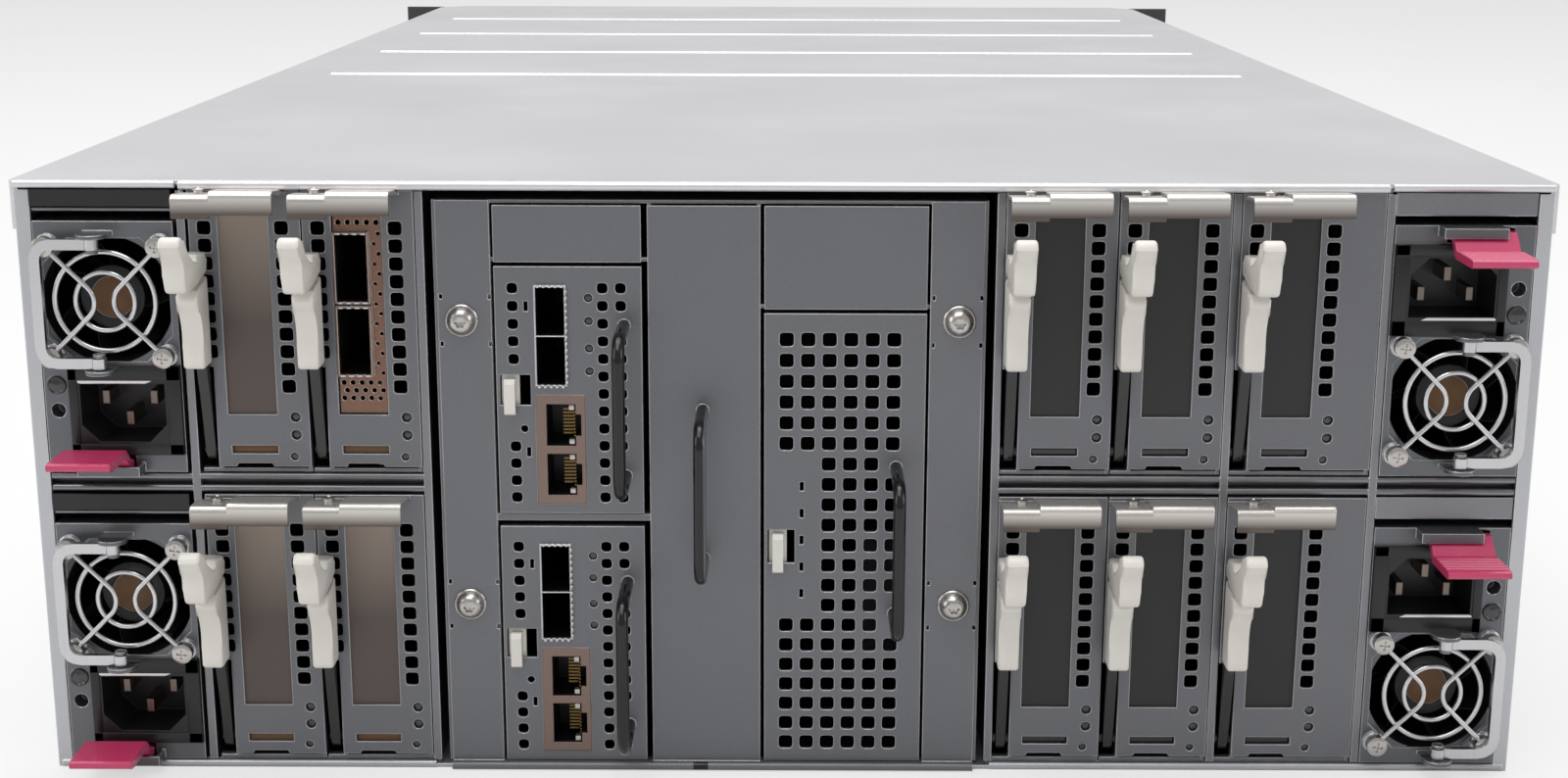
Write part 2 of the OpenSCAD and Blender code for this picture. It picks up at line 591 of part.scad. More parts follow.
// The tray with its flanges, blank panels, dividers and the middle pull handle
module io_tray() color("slategray") tray_place() {
    bay_top = tray_top - 1.4;
    net_bay = [net_x - 0.9, net_x + net_w + 0.9];
    mgmt_bay = [mgmt_x - 0.9, mgmt_x + mgmt_w + 0.9];
    filler_left_z = net_z[1] + net_h + 1.2;
    filler_right_z = mgmt_z + mgmt_h + 1.2;
    notch = 1.4;
    notches = [for (x = [0, net_bay[0] - notch, mgmt_bay[1], tray_w - notch]) for (z = screw_z) for (s = [-1, 1])
        rect(x + 0.5, x + 0.5 + notch - 0.5, z + s * 6.9 - 0.7, z + s * 6.9 + 0.7)];
    // side flanges
    upright(0, tray_t) blank(concat([rect(0, net_bay[0], 2, tray_top)],
        [for (z = screw_z) disc(screw_x[0], z, 2.6)], [for (k = [0:3]) notches[k]], [for (k = [4:7]) notches[k]]));
    upright(0, tray_t) blank(concat([rect(mgmt_bay[1], tray_w, 2, tray_top)],
        [for (z = screw_z) disc(screw_x[1], z, 2.6)], [for (k = [8:11]) notches[k]], [for (k = [12:15]) notches[k]]));
    // blank panels
    block(net_x, net_x + net_w, 0, tray_t, filler_left_z, bay_top);
    block(mgmt_x, mgmt_x + mgmt_w, 0, tray_t, filler_right_z, bay_top);
    block(mid_x0, mid_x1, 0, tray_t, 2, bay_top);
    // top and bottom sheets, side walls and inner dividers
    block(0, tray_w, -1.4, bay_d - 4, sheet + clear, 2.4);
    block(-1, tray_w + 1, 1.2, bay_d - 4, tray_top - 0.9, tray_top);
    for (x = [-1, net_bay[0] - 0.9, mid_x0, mid_x1 - 0.9, mgmt_bay[1], tray_w])
        block(x, x + 1, tray_t - overlap, bay_d - 4, 2.3, tray_top - 0.8);
    block(net_bay[0], mid_x0 + overlap, 0.6, bay_d - 4, net_z[1] - 2.4, net_z[1] - 0.4);
    block(net_bay[0], mid_x0 + overlap, 1.1, bay_d - 4, filler_left_z + 0.2, filler_left_z + 1.2);
    block(mid_x1 - overlap, mgmt_bay[1], 1.1, bay_d - 4, filler_right_z + 0.2, filler_right_z + 1.2);
    // rolled bottom lip
    rolled_lip(0, tray_w, -1.4, 1.3, 1.2);
    wire_handle(mid_handle_x, body_h / 2 - handle_pitch / 2, handle_pitch, handle_reach, handle_wire);
}

// Four captive screws with domed heads
module captive_screws() color("silver") tray_place() {
    for (x = screw_x) for (z = screw_z) translate([x, 0, z]) rotate([90, 0, 0]) difference() {
        union() {
            translate([0, 0, -11]) cylinder(h = 11 + overlap, r = 2.2);
            rotate_extrude() polygon(concat([[0, 0], [4.8, 0]], [[4.8, 0.9]], arc(1.8, 0.9, 2.7, 0, 80, 4),
                [[0, 3.6]]));
        }
        translate([0, 0, 1.8]) rotate([0, 0, 15]) cylinder(h = 3, r = 1.7, $fn = 6);
    }
}

// A vented module face with its window for the latch
module module_shell(w, h, deep) {
    block(0, 1, 0.9, deep, 0, h);
    block(w - 1, w, 0.9, deep, 0, h);
    block(0, w, 0.9, deep, 0, 1);
    block(0, w, 0.9, 14, h - 1, h);
    block(0, w, deep - 1, deep, 0, h);
}

// Network module measures, from the module's lower left corner
net_latch_window = [0.9, 9.8, 32.4, 41.4];
net_handle_z = 11.4;
sfp = [11.4, 20.2, 38.2, 67.4];
rj = [11.2, 25.4, 3, 35.4];

module network_module(row) color("slategray") tray_place(net_x, net_z[row]) {
    left_rows = [4.8, 9.9, 15, 20.1, 46, 51.2, 56.3, 61.5, 66.7];
    handle_x = net_w - 5.1;
    deep = bay_d - 6;
    clear_of_feet = [for (k = [0:12]) if (min(abs(4.8 + k * 5.16 - net_handle_z),
        abs(4.8 + k * 5.16 - net_handle_z - handle_pitch)) > 4) k];
    upright(0, 1) blank(concat([rect(0, net_w, 0, net_h),
        rect(net_latch_window[0], net_latch_window[1], net_latch_window[2], net_latch_window[3]),
        rect(sfp[0], sfp[1], sfp[2], sfp[3]), rect(rj[0], rj[1], rj[2], rj[3]),
        disc(7.8, 25.4, 1.1), rect(8.3, 9.5, 60, 62.9), rect(8.3, 9.5, 17, 19.9)],
        [for (z = [42.5, 49.2, 57.2, 63.9]) disc(26.8, z, 1.25)],
        [for (z = left_rows) soft_rect(5.1, z, 3.1, 3.1, 1)],
        [for (k = [0:12]) soft_rect(30.8, 4.8 + k * 5.16, 3.1, 3.1, 1)],
        [for (k = clear_of_feet) soft_rect(36, 4.8 + k * 5.16, 3.1, 3.1, 1)]));
    module_shell(net_w, net_h, deep);
    // stacked cages of the optical ports and the shell of the cable jacks
    half = (sfp[2] + sfp[3]) / 2;
    upright(-0.5, 50) blank([rect(sfp[0], sfp[1], sfp[2], sfp[3]),
        rect(sfp[0] + 0.3, sfp[1] - 0.3, sfp[2] + 0.3, half - 0.15), rect(sfp[0] + 0.3, sfp[1] - 0.3, half + 0.15, sfp[3] - 0.3)]);
    block(sfp[0], sfp[1], 49, 50, sfp[2], sfp[3]);
    middle = (rj[2] + rj[3]) / 2;
    upright(-0.4, 16) blank([rect(rj[0], rj[1], rj[2], rj[3]), jack_loop(rj[2] + 2.6), jack_loop(middle + 1.2)]);
    block(rj[0], rj[1], 15, 20, rj[2], rj[3]);
    // the board that the ports stand on
    block(9.4, 11, 4, deep - 1, 1, net_h - 1.4);
    wire_handle(handle_x, net_handle_z, handle_pitch, handle_reach, handle_wire);
}

// The opening of one jack, lying on its side, with its latch notch
function jack_loop(z) = let (x0 = rj[0] + 3, x1 = rj[0] + 11.4, h = 12.4)
    [[x0, z], [x1, z], [x1, z + 3], [x1 + 1.6, z + 3], [x1 + 1.6, z + h - 3], [x1, z + h - 3], [x1, z + h], [x0, z + h]];

mgmt_latch_window = [0.9, 8.9, 62, 72.2];
mgmt_handle_z = 46.6;

// Which of the six columns are punched in row k of the management module's vents
function punched(k, rows, z) = k <= 5 || k >= rows - 5 ? [0:5] : k == 6 ? [0:4]
    : abs(z - mgmt_handle_z - handle_pitch / 2) < handle_pitch / 2 - 4 ? [2:5] : [2:4];

module management_module() color("slategray") tray_place(mgmt_x, mgmt_z) {
    vent = 4.1;
    step = 6.155;
    x0 = 6.4;
    z0 = 5.9;
    deep = bay_d - 6;
    rows = floor((mgmt_h - 6 - z0) / step);
    handle_x = mgmt_w - 8.2;
    upright(0, 1) blank(concat([rect(0, mgmt_w, 0, mgmt_h),
        rect(mgmt_latch_window[0], mgmt_latch_window[1], mgmt_latch_window[2], mgmt_latch_window[3])],
        [for (k = [0:4]) rect(10.3, 11.5, 51.3 + k * 8.17, 54 + k * 8.17)],
        [for (k = [0:rows]) for (c = punched(k, rows, z0 + k * step)) soft_rect(x0 + c * step, z0 + k * step, vent, vent, 0.9)]));
    module_shell(mgmt_w, mgmt_h, deep);
    block(mgmt_w - 5, mgmt_w - 3.4, 12, deep - 0.5, 0.9, mgmt_h - 6);
    block(mgmt_w - 16, mgmt_w - 4.9, 40, 90, 20, 60);
    wire_handle(handle_x, mgmt_handle_z, handle_pitch, handle_reach, handle_wire);
}

// A small sliding latch: the tab in the window and the plate behind the face
module module_latch(window, tab_x) {
    z0 = window[2];
    z1 = window[3];
    along_x(tab_x, tab_x + 3.2) polygon([[1.4, z1 - 1.4], [-1.6, z1 - 1], [-2.6, z1 - 2.4], [-2.6, z0 - 2],
        [-1.6, z0 - 2.6], [-0.8, z0 - 2], [-0.8, z0 + 1.2], [1.4, z0 + 1.4]]);
    block(tab_x - 1, tab_x + 4.2, 1.3, 2.5, z0 - 1.6, z1 + 1.6);
}

module network_latch(row) color("ivory") tray_place(net_x, net_z[row]) module_latch(net_latch_window, 2.3);
module management_latch() color("ivory") tray_place(mgmt_x, mgmt_z) module_latch(mgmt_latch_window, 2.4);

// ---------------------------------------------------------------- blades

blade_pitch = (2 * (wall_x - sheet) - 0.4) / blade_count;
blade_w = blade_pitch - 0.5;
blade_z0 = sheet + 0.4;
blade_z1 = body_h - cover_t - bead_deep - 0.6;
blade_lever_h = 16;
blade_lever_z = 14;
blade_hinge_x = 7;
blade_plenum = 34;
blade_hinge_y = blade_face_y + blade_hinge_out;

module blade_place(i) place()
    translate([-wall_x + sheet + 0.2 + (i - 1) * blade_pitch + 0.25, 0, 0]) children();

// A closed sled with a vented face
module blade(i) color("darkgray") blade_place(i) {
    t = 1.2;
    step_x = 2 * blade_vent_r;
    step_z = 1.732 * blade_vent_r;
    columns = floor((blade_w - 24) / step_x);
    bottom = blade_lever_z + blade_lever_h + 10;
    rows = floor((blade_z1 - bottom - 8) / step_z);
    difference() {
        block(0, blade_w, blade_y, blade_face_y + overlap, blade_z0, blade_z1);
        block(t, blade_w - t, blade_y + t, blade_face_y - blade_plenum - t, blade_z0 + t, blade_z1 - t);
        block(t, blade_w - t, blade_face_y - blade_plenum, blade_face_y - t, blade_z0 + t, blade_z1 - t);
        block(8, blade_w - 8, blade_face_y - t - 1, blade_face_y + 1, bottom - 6, blade_z1 - 4);
    }
    upright(blade_face_y, 1.4) blank(concat([rect(0, blade_w, blade_z0, blade_z1)],
        [for (k = [0:rows - 1]) for (c = [0:columns - 1 - k % 2])
            disc(12 + blade_vent_r + c * step_x + (k % 2) * step_x / 2, bottom + k * step_z, blade_vent_r * 0.88, 6)]));
    // clevis of the ejector lever
    y = blade_hinge_y;
    for (z = [blade_lever_z - 1.6, blade_lever_z + blade_lever_h + 0.4])
        block(blade_hinge_x - 3, blade_hinge_x + 3, blade_face_y + 1.3, y + 2.4, z, z + 1.2);
    pin_z(blade_hinge_x, y, blade_lever_z - 1, blade_lever_z + blade_lever_h + 1, 1.5);
}

// The ejector lever that folds flat across the foot of the face
module blade_lever(i) color("#3a3a3e") blade_place(i) {
    y = blade_hinge_y;
    x0 = blade_hinge_x;
    x1 = blade_w - 8;
    t = blade_lever_t;
    difference() {
        union() {
            translate([0, y, blade_lever_z]) linear_extrude(blade_lever_h) polygon(concat(
                arc(x0, 0, t / 2, 90, 270, 8), arc(x1 - 3, 0, t / 2 - 1, 270, 450, 6), [[x1 - 24, t / 2]]));
        }
        pin_z(x0, y, blade_lever_z - 1, blade_lever_z + blade_lever_h + 1, 1.5 + pin_clear);
        translate([x1 - 26, y + t / 2 + 4.6, blade_lever_z + blade_lever_h / 2])
            rotate([0, 90, 0]) cylinder(h = 18, r = 6);
    }
}

// ---------------------------------------------------------------- nodes

chassis_shell();
top_cover();
rack_ears();
bay_frame();
midplane_board();
for (r = [0, 1]) label_tab(r);
for (r = [0, 1]) for (s = [0, 1]) {
    psu_case(r, s);
    psu_fan(r, s);
    psu_bail(r, s);
    psu_latch(r, s);
}
for (r = [0, 1]) for (i = [0:4]) {
    cartridge(r, i, r == 1 && i == 1);
    cart_lever(r, i);
}
network_card();
io_tray();
captive_screws();
for (r = [0, 1]) network_module(r);
for (r = [0, 1]) network_latch(r);
management_module();
management_latch();
for (i = [1:blade_count]) blade(i);
for (i = [1:blade_count]) blade_lever(i);
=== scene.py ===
"""Finishes a packed rack chassis: surfaces, mouldings, screws, contacts and the stage it stands on."""

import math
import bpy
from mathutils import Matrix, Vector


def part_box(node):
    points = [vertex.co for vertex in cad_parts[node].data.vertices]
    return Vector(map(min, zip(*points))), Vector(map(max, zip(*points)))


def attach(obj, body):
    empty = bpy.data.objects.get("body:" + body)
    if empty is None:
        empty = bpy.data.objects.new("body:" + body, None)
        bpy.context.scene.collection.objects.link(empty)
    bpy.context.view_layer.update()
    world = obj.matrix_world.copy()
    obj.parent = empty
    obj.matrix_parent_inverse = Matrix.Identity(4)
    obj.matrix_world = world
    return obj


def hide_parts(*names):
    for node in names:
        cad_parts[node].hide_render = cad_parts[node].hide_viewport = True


bl_info = {
    "name": "Blade chassis fittings",
    "version": (1, 0, 0),
    "blender": (4, 5, 0),
    "location": "3D View > Sidebar > Chassis",
    "description": "Finishes a rack chassis and adds its mouldings and small fittings",
    "category": "Object",
}

import bmesh
import bpy
from bpy.props import FloatProperty, FloatVectorProperty, PointerProperty
from mathutils import Matrix, Vector

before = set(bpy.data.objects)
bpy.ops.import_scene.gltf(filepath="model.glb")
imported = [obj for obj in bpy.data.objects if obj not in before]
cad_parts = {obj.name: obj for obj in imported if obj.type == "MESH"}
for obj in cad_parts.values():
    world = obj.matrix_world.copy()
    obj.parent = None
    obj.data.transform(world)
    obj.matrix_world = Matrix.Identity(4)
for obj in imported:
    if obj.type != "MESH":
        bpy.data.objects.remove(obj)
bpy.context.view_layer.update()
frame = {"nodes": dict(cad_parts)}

MM = 0.001
ROWS = ("lower", "upper")
SIDES = ("left", "right")
DEPTH = 793 * MM
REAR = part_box("rack_ears")[1].y - DEPTH
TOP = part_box("top_cover")[1].z
FAN_HEIGHT = 50.7  # millimetres from the foot of a power supply to the fan's middle
MERGE = 0.002 * MM
SHARP = math.radians(35)


def point(x, y, z):
    """A place in millimetres, with y counted from the rear face, as a vector in metres."""
    return Vector((x * MM, REAR + y * MM, z * MM))


def linear(red, green, blue):
    """A colour given in display values from 0 to 255, as linear values."""
    def one(value):
        value /= 255
        return value / 12.92 if value <= 0.04045 else ((value + 0.055) / 1.055) ** 2.4
    return (one(red), one(green), one(blue), 1.0)


# ---------------------------------------------------------------- settings


class ChassisColours(bpy.types.PropertyGroup):
    """Colours that a user would change."""

    cover: FloatVectorProperty(
        name="Cover", description="Colour of the plated cover", subtype="COLOR", size=4,
        default=linear(216, 215, 219), min=0, max=1)
    face: FloatVectorProperty(
        name="Module faces", description="Colour of the plated module faces", subtype="COLOR", size=4,
        default=linear(113, 114, 118), min=0, max=1)
    frame: FloatVectorProperty(
        name="Bay frame", description="Colour of the plated uprights and lips", subtype="COLOR", size=4,
        default=linear(128, 128, 132), min=0, max=1)
    ivory: FloatVectorProperty(
        name="Levers", description="Colour of the moulded levers and latches", subtype="COLOR", size=4,
        default=linear(222, 218, 211), min=0, max=1)
    crimson: FloatVectorProperty(
        name="Release tabs", description="Colour of the release tabs", subtype="COLOR", size=4,
        default=linear(190, 58, 100), min=0, max=1)
    copper: FloatVectorProperty(
        name="Card bracket", description="Colour of the toned card bracket", subtype="COLOR", size=4,
        default=linear(126, 96, 82), min=0, max=1)


class ChassisSizes(bpy.types.PropertyGroup):
    """Sizes that a user would change."""

    edge: FloatProperty(
        name="Moulded edge", description="Rounding of the moulded levers", default=0.9 * MM, min=0.2 * MM,
        max=1.6 * MM, unit="LENGTH")
    # Reach of the painted highlight along sheet edges.
    wear: FloatProperty(
        name="Edge wear", description="Reach of the bright wear along sheet edges", default=0.5 * MM, min=0,
        max=2 * MM, unit="LENGTH")
    contact: FloatProperty(
        name="Contact width", description="Width of one jack contact", default=0.5 * MM, min=0.3 * MM,
        max=0.8 * MM, unit="LENGTH")


def colours():
    return bpy.context.scene.chassis_colours


def sizes():
    return bpy.context.scene.chassis_sizes


# ---------------------------------------------------------------- finishes


class Val:
    """A shader socket that takes part in Python arithmetic."""

    def __init__(self, finish, socket):
        self.finish = finish
        self.socket = socket

    def math(self, operation, *others, clamp=False):
        values = dict(enumerate((self,) + others))
        return self.finish.node("ShaderNodeMath", values, operation=operation, use_clamp=clamp)

    def __add__(self, other):
        return self.math("ADD", other)

    __radd__ = __add__

    def __mul__(self, other):
        return self.math("MULTIPLY", other)

    __rmul__ = __mul__

    def __sub__(self, other):
        return self.math("SUBTRACT", other)

    def __rsub__(self, other):
        return self.finish.node("ShaderNodeMath", {0: other, 1: self}, operation="SUBTRACT")

    def __truediv__(self, other):
        return self.math("DIVIDE", other)

    def above(self, limit, soft=0.05 * MM):
        """0 below the limit and 1 above it, with a soft edge."""
        return ((self - limit) / soft + 0.5).math("ADD", 0, clamp=True)

    def between(self, low, high, soft=0.05 * MM):
        return self.above(low, soft) * (1 - self.above(high, soft))


class Finish:
    """A procedural material: one shader and the nodes that feed it."""

    def __init__(self, name, **constants):
        self.material = bpy.data.materials.new(name)
        self.material.use_nodes = True
        self.tree = self.material.node_tree
        self.tree.nodes.clear()
        self.shader = self.tree.nodes.new("ShaderNodeBsdfPrincipled")
        output = self.tree.nodes.new("ShaderNodeOutputMaterial")
        self.tree.links.new(self.shader.outputs[0], output.inputs[0])
        for key, value in constants.items():
            self.shader.inputs[key.replace("_", " ")].default_value = value
        self.place = self.node("ShaderNodeTexCoord", output="Object")
        parts = self.node("ShaderNodeSeparateXYZ", {0: self.place}).socket.node
        self.x, self.y, self.z = (Val(self, socket) for socket in parts.outputs)

    def node(self, kind, values=None, output=0, **settings):
        """Adds a node: first its settings, then the values or links of its sockets."""
        node = self.tree.nodes.new(kind)
        for key, value in settings.items():
            setattr(node, key, value)
        for key, value in (values or {}).items():
            if isinstance(value, Val):
                self.tree.links.new(value.socket, node.inputs[key])
            else:
                node.inputs[key].default_value = value
        return Val(self, node.outputs[output])

    def noise(self, scale, detail=2.0, stretch=None):
        """Noise from 0 to 1 over the piece, at so many features a metre."""
        where = self.place
        if stretch:
            where = self.node("ShaderNodeMapping", {"Vector": where, "Scale": stretch})
        return self.node("ShaderNodeTexNoise", {"Vector": where, "Scale": scale, "Detail": detail})

    def blend(self, factor, first, second):
        """A colour between two colours."""
        node = self.tree.nodes.new("ShaderNodeMix")
        node.data_type = "RGBA"
        sockets = node.inputs["Factor"], node.inputs[6], node.inputs[7]
        for socket, value in zip(sockets, (factor, first, second)):
            if isinstance(value, Val):
                self.tree.links.new(value.socket, socket)
            else:
                socket.default_value = value
        return Val(self, node.outputs[2])

    def painted_edge_highlight(self, reach):
        """1 on edges within reach and 0 on open faces: the mask of the painted highlight along edges."""
        soft = self.node("ShaderNodeBevel", {"Radius": reach}, samples=6)
        true = self.node("ShaderNodeNewGeometry", output="Normal")
        even = self.node("ShaderNodeVectorMath", {0: soft, 1: true}, operation="DOT_PRODUCT", output="Value")
        return ((1 - even) * 5).math("ADD", 0, clamp=True), soft

    def box(self, low, high, soft=0.1 * MM):
        """1 inside a box between two corners in metres."""
        mask = self.x.between(low[0], high[0], soft)
        mask = mask * self.y.between(low[1], high[1], soft)
        return mask * self.z.between(low[2], high[2], soft)

    def tube(self, x, z, radius, soft=0.1 * MM):
        """1 inside a round tube that runs along Y."""
        dx = self.x - x
        dz = self.z - z
        return 1 - (dx * dx + dz * dz).math("SQRT").above(radius, soft)

    def feed(self, **values):
        for key, value in values.items():
            self.tree.links.new(value.socket, self.shader.inputs[key.replace("_", " ")])

    def bump(self, height, distance, normal=None):
        values = {"Height": height, "Distance": distance}
        if normal is not None:
            values["Normal"] = normal
        self.feed(Normal=self.node("ShaderNodeBump", values))


def plated(name, colour, rough=0.4, metal=0.75, regions=(), grain=0.09, edge=1.35):
    """Plated sheet steel: fine grain, faint stains, and edges painted near white as a painted highlight.

    Each region is a function of the finish that gives its mask, its colour, its roughness and its metal.
    """
    finish = Finish(name, IOR=1.5, Metallic=metal)
    fine = finish.noise(2600, 3.0)
    broad = finish.noise(14, 3.0)
    shade = tuple(min(1, c * (1 - grain)) for c in colour[:3]) + (1,)
    bright = tuple(min(1, c * (1 + grain)) for c in colour[:3]) + (1,)
    colour = finish.blend((fine - 0.5) * 1.6 + broad, shade, bright)
    rough = rough + (broad - 0.5) * 0.16 + (fine - 0.5) * 0.1
    # The edges are painted towards near white: a painted highlight along them.
    edges, soft = finish.painted_edge_highlight(sizes().wear)
    edge_highlight_colour = linear(*(min(255, 178 * edge) for _ in range(3)))
    colour = finish.blend(edges * 0.85, colour, edge_highlight_colour)
    rough = rough - edges * 0.1
    for region in regions:
        mask, region_colour, region_rough, region_metal = region(finish)
        colour = finish.blend(mask, colour, region_colour)
        rough = rough + mask * (region_rough - rough)
        metal = metal + mask * (region_metal - metal)
    finish.feed(Base_Color=colour, Roughness=rough)
    if regions:
        finish.feed(Metallic=metal)
    finish.bump(fine, 0.008 * MM, soft)
    return finish.material


def moulded(name, colour, rough=0.38, spread=0.05, coat=0.0, grain=900):
    """Moulded plastic with a fine spark-eroded grain, faint handling marks and edges painted a little lighter as a
    painted highlight.
    """
    finish = Finish(name, IOR=1.49, Coat_Weight=coat, Coat_Roughness=0.12)
    fine = finish.noise(grain * 3, 2.0)
    marks = finish.noise(70, 4.0)
    dark = tuple(c * (1 - spread) for c in colour[:3]) + (1,)
    pale = tuple(min(1, c * (1 + spread)) for c in colour[:3]) + (1,)
    # The edges are painted a little lighter: a painted highlight.
    edges, soft = finish.painted_edge_highlight(0.35 * MM)
    finish.feed(Base_Color=finish.blend(marks + edges * 0.3, dark, pale),
                Roughness=rough + (marks - 0.5) * 0.22 + (fine - 0.5) * 0.06)
    finish.bump(fine, 0.01 * MM, soft)
    return finish.material


def wire_steel(name, colour, rough=0.2):
    """Bright nickel-plated wire and strip."""
    finish = Finish(name, IOR=1.5, Metallic=0.95)
    streak = finish.noise(900, 2.0, (1, 1, 0.08))
    broad = finish.noise(60, 3.0)
    dark = tuple(c * 0.82 for c in colour[:3]) + (1,)
    finish.feed(Base_Color=finish.blend(streak * 0.7 + broad * 0.3, dark, colour),
                Roughness=rough + (streak - 0.5) * 0.12)
    finish.bump(streak, 0.01 * MM)
    return finish.material


FINISHES = {}


def finish_of(name):
    """The shared finishes, made the first time that they are asked for."""
    if name not in FINISHES:
        c = colours()
        makers = {
            "ivory": lambda: moulded("ivory_moulding", c.ivory, 0.36, 0.03),
            "black": lambda: moulded("black_moulding", linear(24, 24, 26), 0.34, 0.2),
            "arm": lambda: moulded("black_arm", linear(14, 14, 16), 0.2, 0.2, coat=0.4),
            "fan": lambda: moulded("fan_moulding", linear(20, 20, 23), 0.42, 0.25),
            "crimson": lambda: moulded("crimson_moulding", c.crimson, 0.24, 0.07, coat=0.5),
            "bright": lambda: wire_steel("bright_wire", linear(206, 206, 208), 0.2),
            "screw": lambda: wire_steel("nickel_screw", linear(196, 192, 188), 0.24),
            "gold": lambda: wire_steel("gold_contact", linear(120, 98, 62), 0.28),
            "lens": lambda: moulded("smoked_lens", linear(30, 34, 32), 0.12, 0.1, coat=0.8),
            "sticker": lambda: plated("hub_foil", linear(104, 74, 46), 0.4, 0.3),
        }
        FINISHES[name] = makers[name]()
    return FINISHES[name]


def dress(node, material):
    """Gives a carried-over node its finish."""
    slots = frame["nodes"][node].material_slots
    if not slots:
        raise ValueError(node + " has no material slot")
    for one in slots:
        one.link = "OBJECT"
        one.material = material


# ---------------------------------------------------------------- meshes


def piece(name, bm, material, body, smooth=True, flat_angle=35):
    """Turns a bmesh into a finished piece that rides on a body."""
    bmesh.ops.remove_doubles(bm, verts=bm.verts, dist=MERGE)
    bmesh.ops.recalc_face_normals(bm, faces=bm.faces)
    mesh = bpy.data.meshes.new(name)
    bm.to_mesh(mesh)
    bm.free()
    mesh.materials.append(material)
    obj = bpy.data.objects.new(name, mesh)
    bpy.context.scene.collection.objects.link(obj)
    if smooth:
        mesh.shade_smooth()
        mesh.set_sharp_from_angle(angle=math.radians(flat_angle))
    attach(obj, body)
    return obj


def arc(cy, cz, radius, start, end, steps=5):
    """Points of an arc in degrees, the start and the end included."""
    turn = [math.radians(start + (end - start) * k / steps) for k in range(steps + 1)]
    return [(cy + radius * math.cos(t), cz + radius * math.sin(t)) for t in turn]


def add_extrusion(bm, outline, x0, x1, at, edge=0.0, segments=3):
    """A closed outline in Y and Z, drawn out along X and given round edges."""
    ring0 = [bm.verts.new(at(x0, y, z)) for y, z in outline]
    ring1 = [bm.verts.new(at(x1, y, z)) for y, z in outline]
    faces = [bm.faces.new(ring0), bm.faces.new(list(reversed(ring1)))]
    count = len(outline)
    for k in range(count):
        bm.faces.new((ring0[k], ring1[k], ring1[(k + 1) % count], ring0[(k + 1) % count]))
    if edge:
        rims = [e for f in faces for e in f.edges]
        bmesh.ops.bevel(bm, geom=rims, offset=edge, segments=segments, profile=0.5, affect="EDGES")


def add_lathe(bm, rings, at, closed=True):
    """Rings about -Y, each a height and a radius. A radius may be a function of the angle."""
    turns = 24
    loops = []
    for radius, height in rings:
        loop = []
        for k in range(turns):
            angle = 2 * math.pi * k / turns
            size = radius(angle) if callable(radius) else radius
            loop.append(bm.verts.new(at(size * math.cos(angle), -height, size * math.sin(angle))))
        loops.append(loop)
    for low, high in zip(loops, loops[1:]):
        for k in range(turns):
            bm.faces.new((low[k], low[(k + 1) % turns], high[(k + 1) % turns], high[k]))
    if closed:
        bm.faces.new(loops[-1])
        bm.faces.new(list(reversed(loops[0])))


def add_block(bm, low, high, at, edge=0.0):
    """A block between two corners, with its edges eased."""
    x0, y0, z0 = low
    x1, y1, z1 = high
    corners = [bm.verts.new(at(x, y, z)) for x in (x0, x1) for y in (y0, y1) for z in (z0, z1)]
    faces = [bm.faces.new([corners[k] for k in four]) for four in (
        (0, 1, 3, 2), (4, 6, 7, 5), (0, 4, 5, 1), (2, 3, 7, 6), (0, 2, 6, 4), (1, 5, 7, 3))]
    if edge:
        bmesh.ops.bevel(bm, geom=list({e for f in faces for e in f.edges}), offset=edge, segments=2, profile=0.5,
                        affect="EDGES")


def cross(reach, waist):
    """Outline of a cross recess as a radius over the angle."""
    def radius(angle):
        quarter = (angle + math.pi / 4) % (math.pi / 2) - math.pi / 4
        return reach if abs(quarter) < math.radians(16) else waist
    return radius


def star(reach, waist):
    """Outline of a six-lobed recess."""
    return lambda angle: waist + (reach - waist) * (0.5 + 0.5 * math.cos(6 * angle))


# ---------------------------------------------------------------- repeats


def fitting_tree():
    """Nodes that set one fitting on every point of a mesh, with its size and finish as inputs."""
    tree = bpy.data.node_groups.get("set_fittings")
    if tree:
        return tree
    tree = bpy.data.node_groups.new("set_fittings", "GeometryNodeTree")
    for name, kind in (("Points", "NodeSocketGeometry"), ("Fitting", "NodeSocketObject"),
                       ("Size", "NodeSocketFloat"), ("Turn", "NodeSocketFloat"), ("Finish", "NodeSocketMaterial")):
        tree.interface.new_socket(name, in_out="INPUT", socket_type=kind)
    tree.interface.new_socket("Fittings", in_out="OUTPUT", socket_type="NodeSocketGeometry")
    into = tree.nodes.new("NodeGroupInput")
    out = tree.nodes.new("NodeGroupOutput")
    info = tree.nodes.new("GeometryNodeObjectInfo")
    spin = tree.nodes.new("FunctionNodeRandomValue")
    spin.inputs["Seed"].default_value = 7
    angle = tree.nodes.new("ShaderNodeCombineXYZ")
    turn = tree.nodes.new("ShaderNodeMath")
    turn.operation = "MULTIPLY"
    instance = tree.nodes.new("GeometryNodeInstanceOnPoints")
    real = tree.nodes.new("GeometryNodeRealizeInstances")
    paint = tree.nodes.new("GeometryNodeSetMaterial")
    link = tree.links.new
    link(into.outputs["Fitting"], info.inputs["Object"])
    link(into.outputs["Points"], instance.inputs["Points"])
    link(info.outputs["Geometry"], instance.inputs["Instance"])
    link(into.outputs["Size"], instance.inputs["Scale"])
    link(spin.outputs[1], turn.inputs[0])
    link(into.outputs["Turn"], turn.inputs[1])
    link(turn.outputs[0], angle.inputs["Y"])
    link(angle.outputs[0], instance.inputs["Rotation"])
    link(instance.outputs[0], real.inputs[0])
    link(real.outputs[0], paint.inputs["Geometry"])
    link(into.outputs["Finish"], paint.inputs["Material"])
    link(paint.outputs[0], out.inputs[0])
    return tree


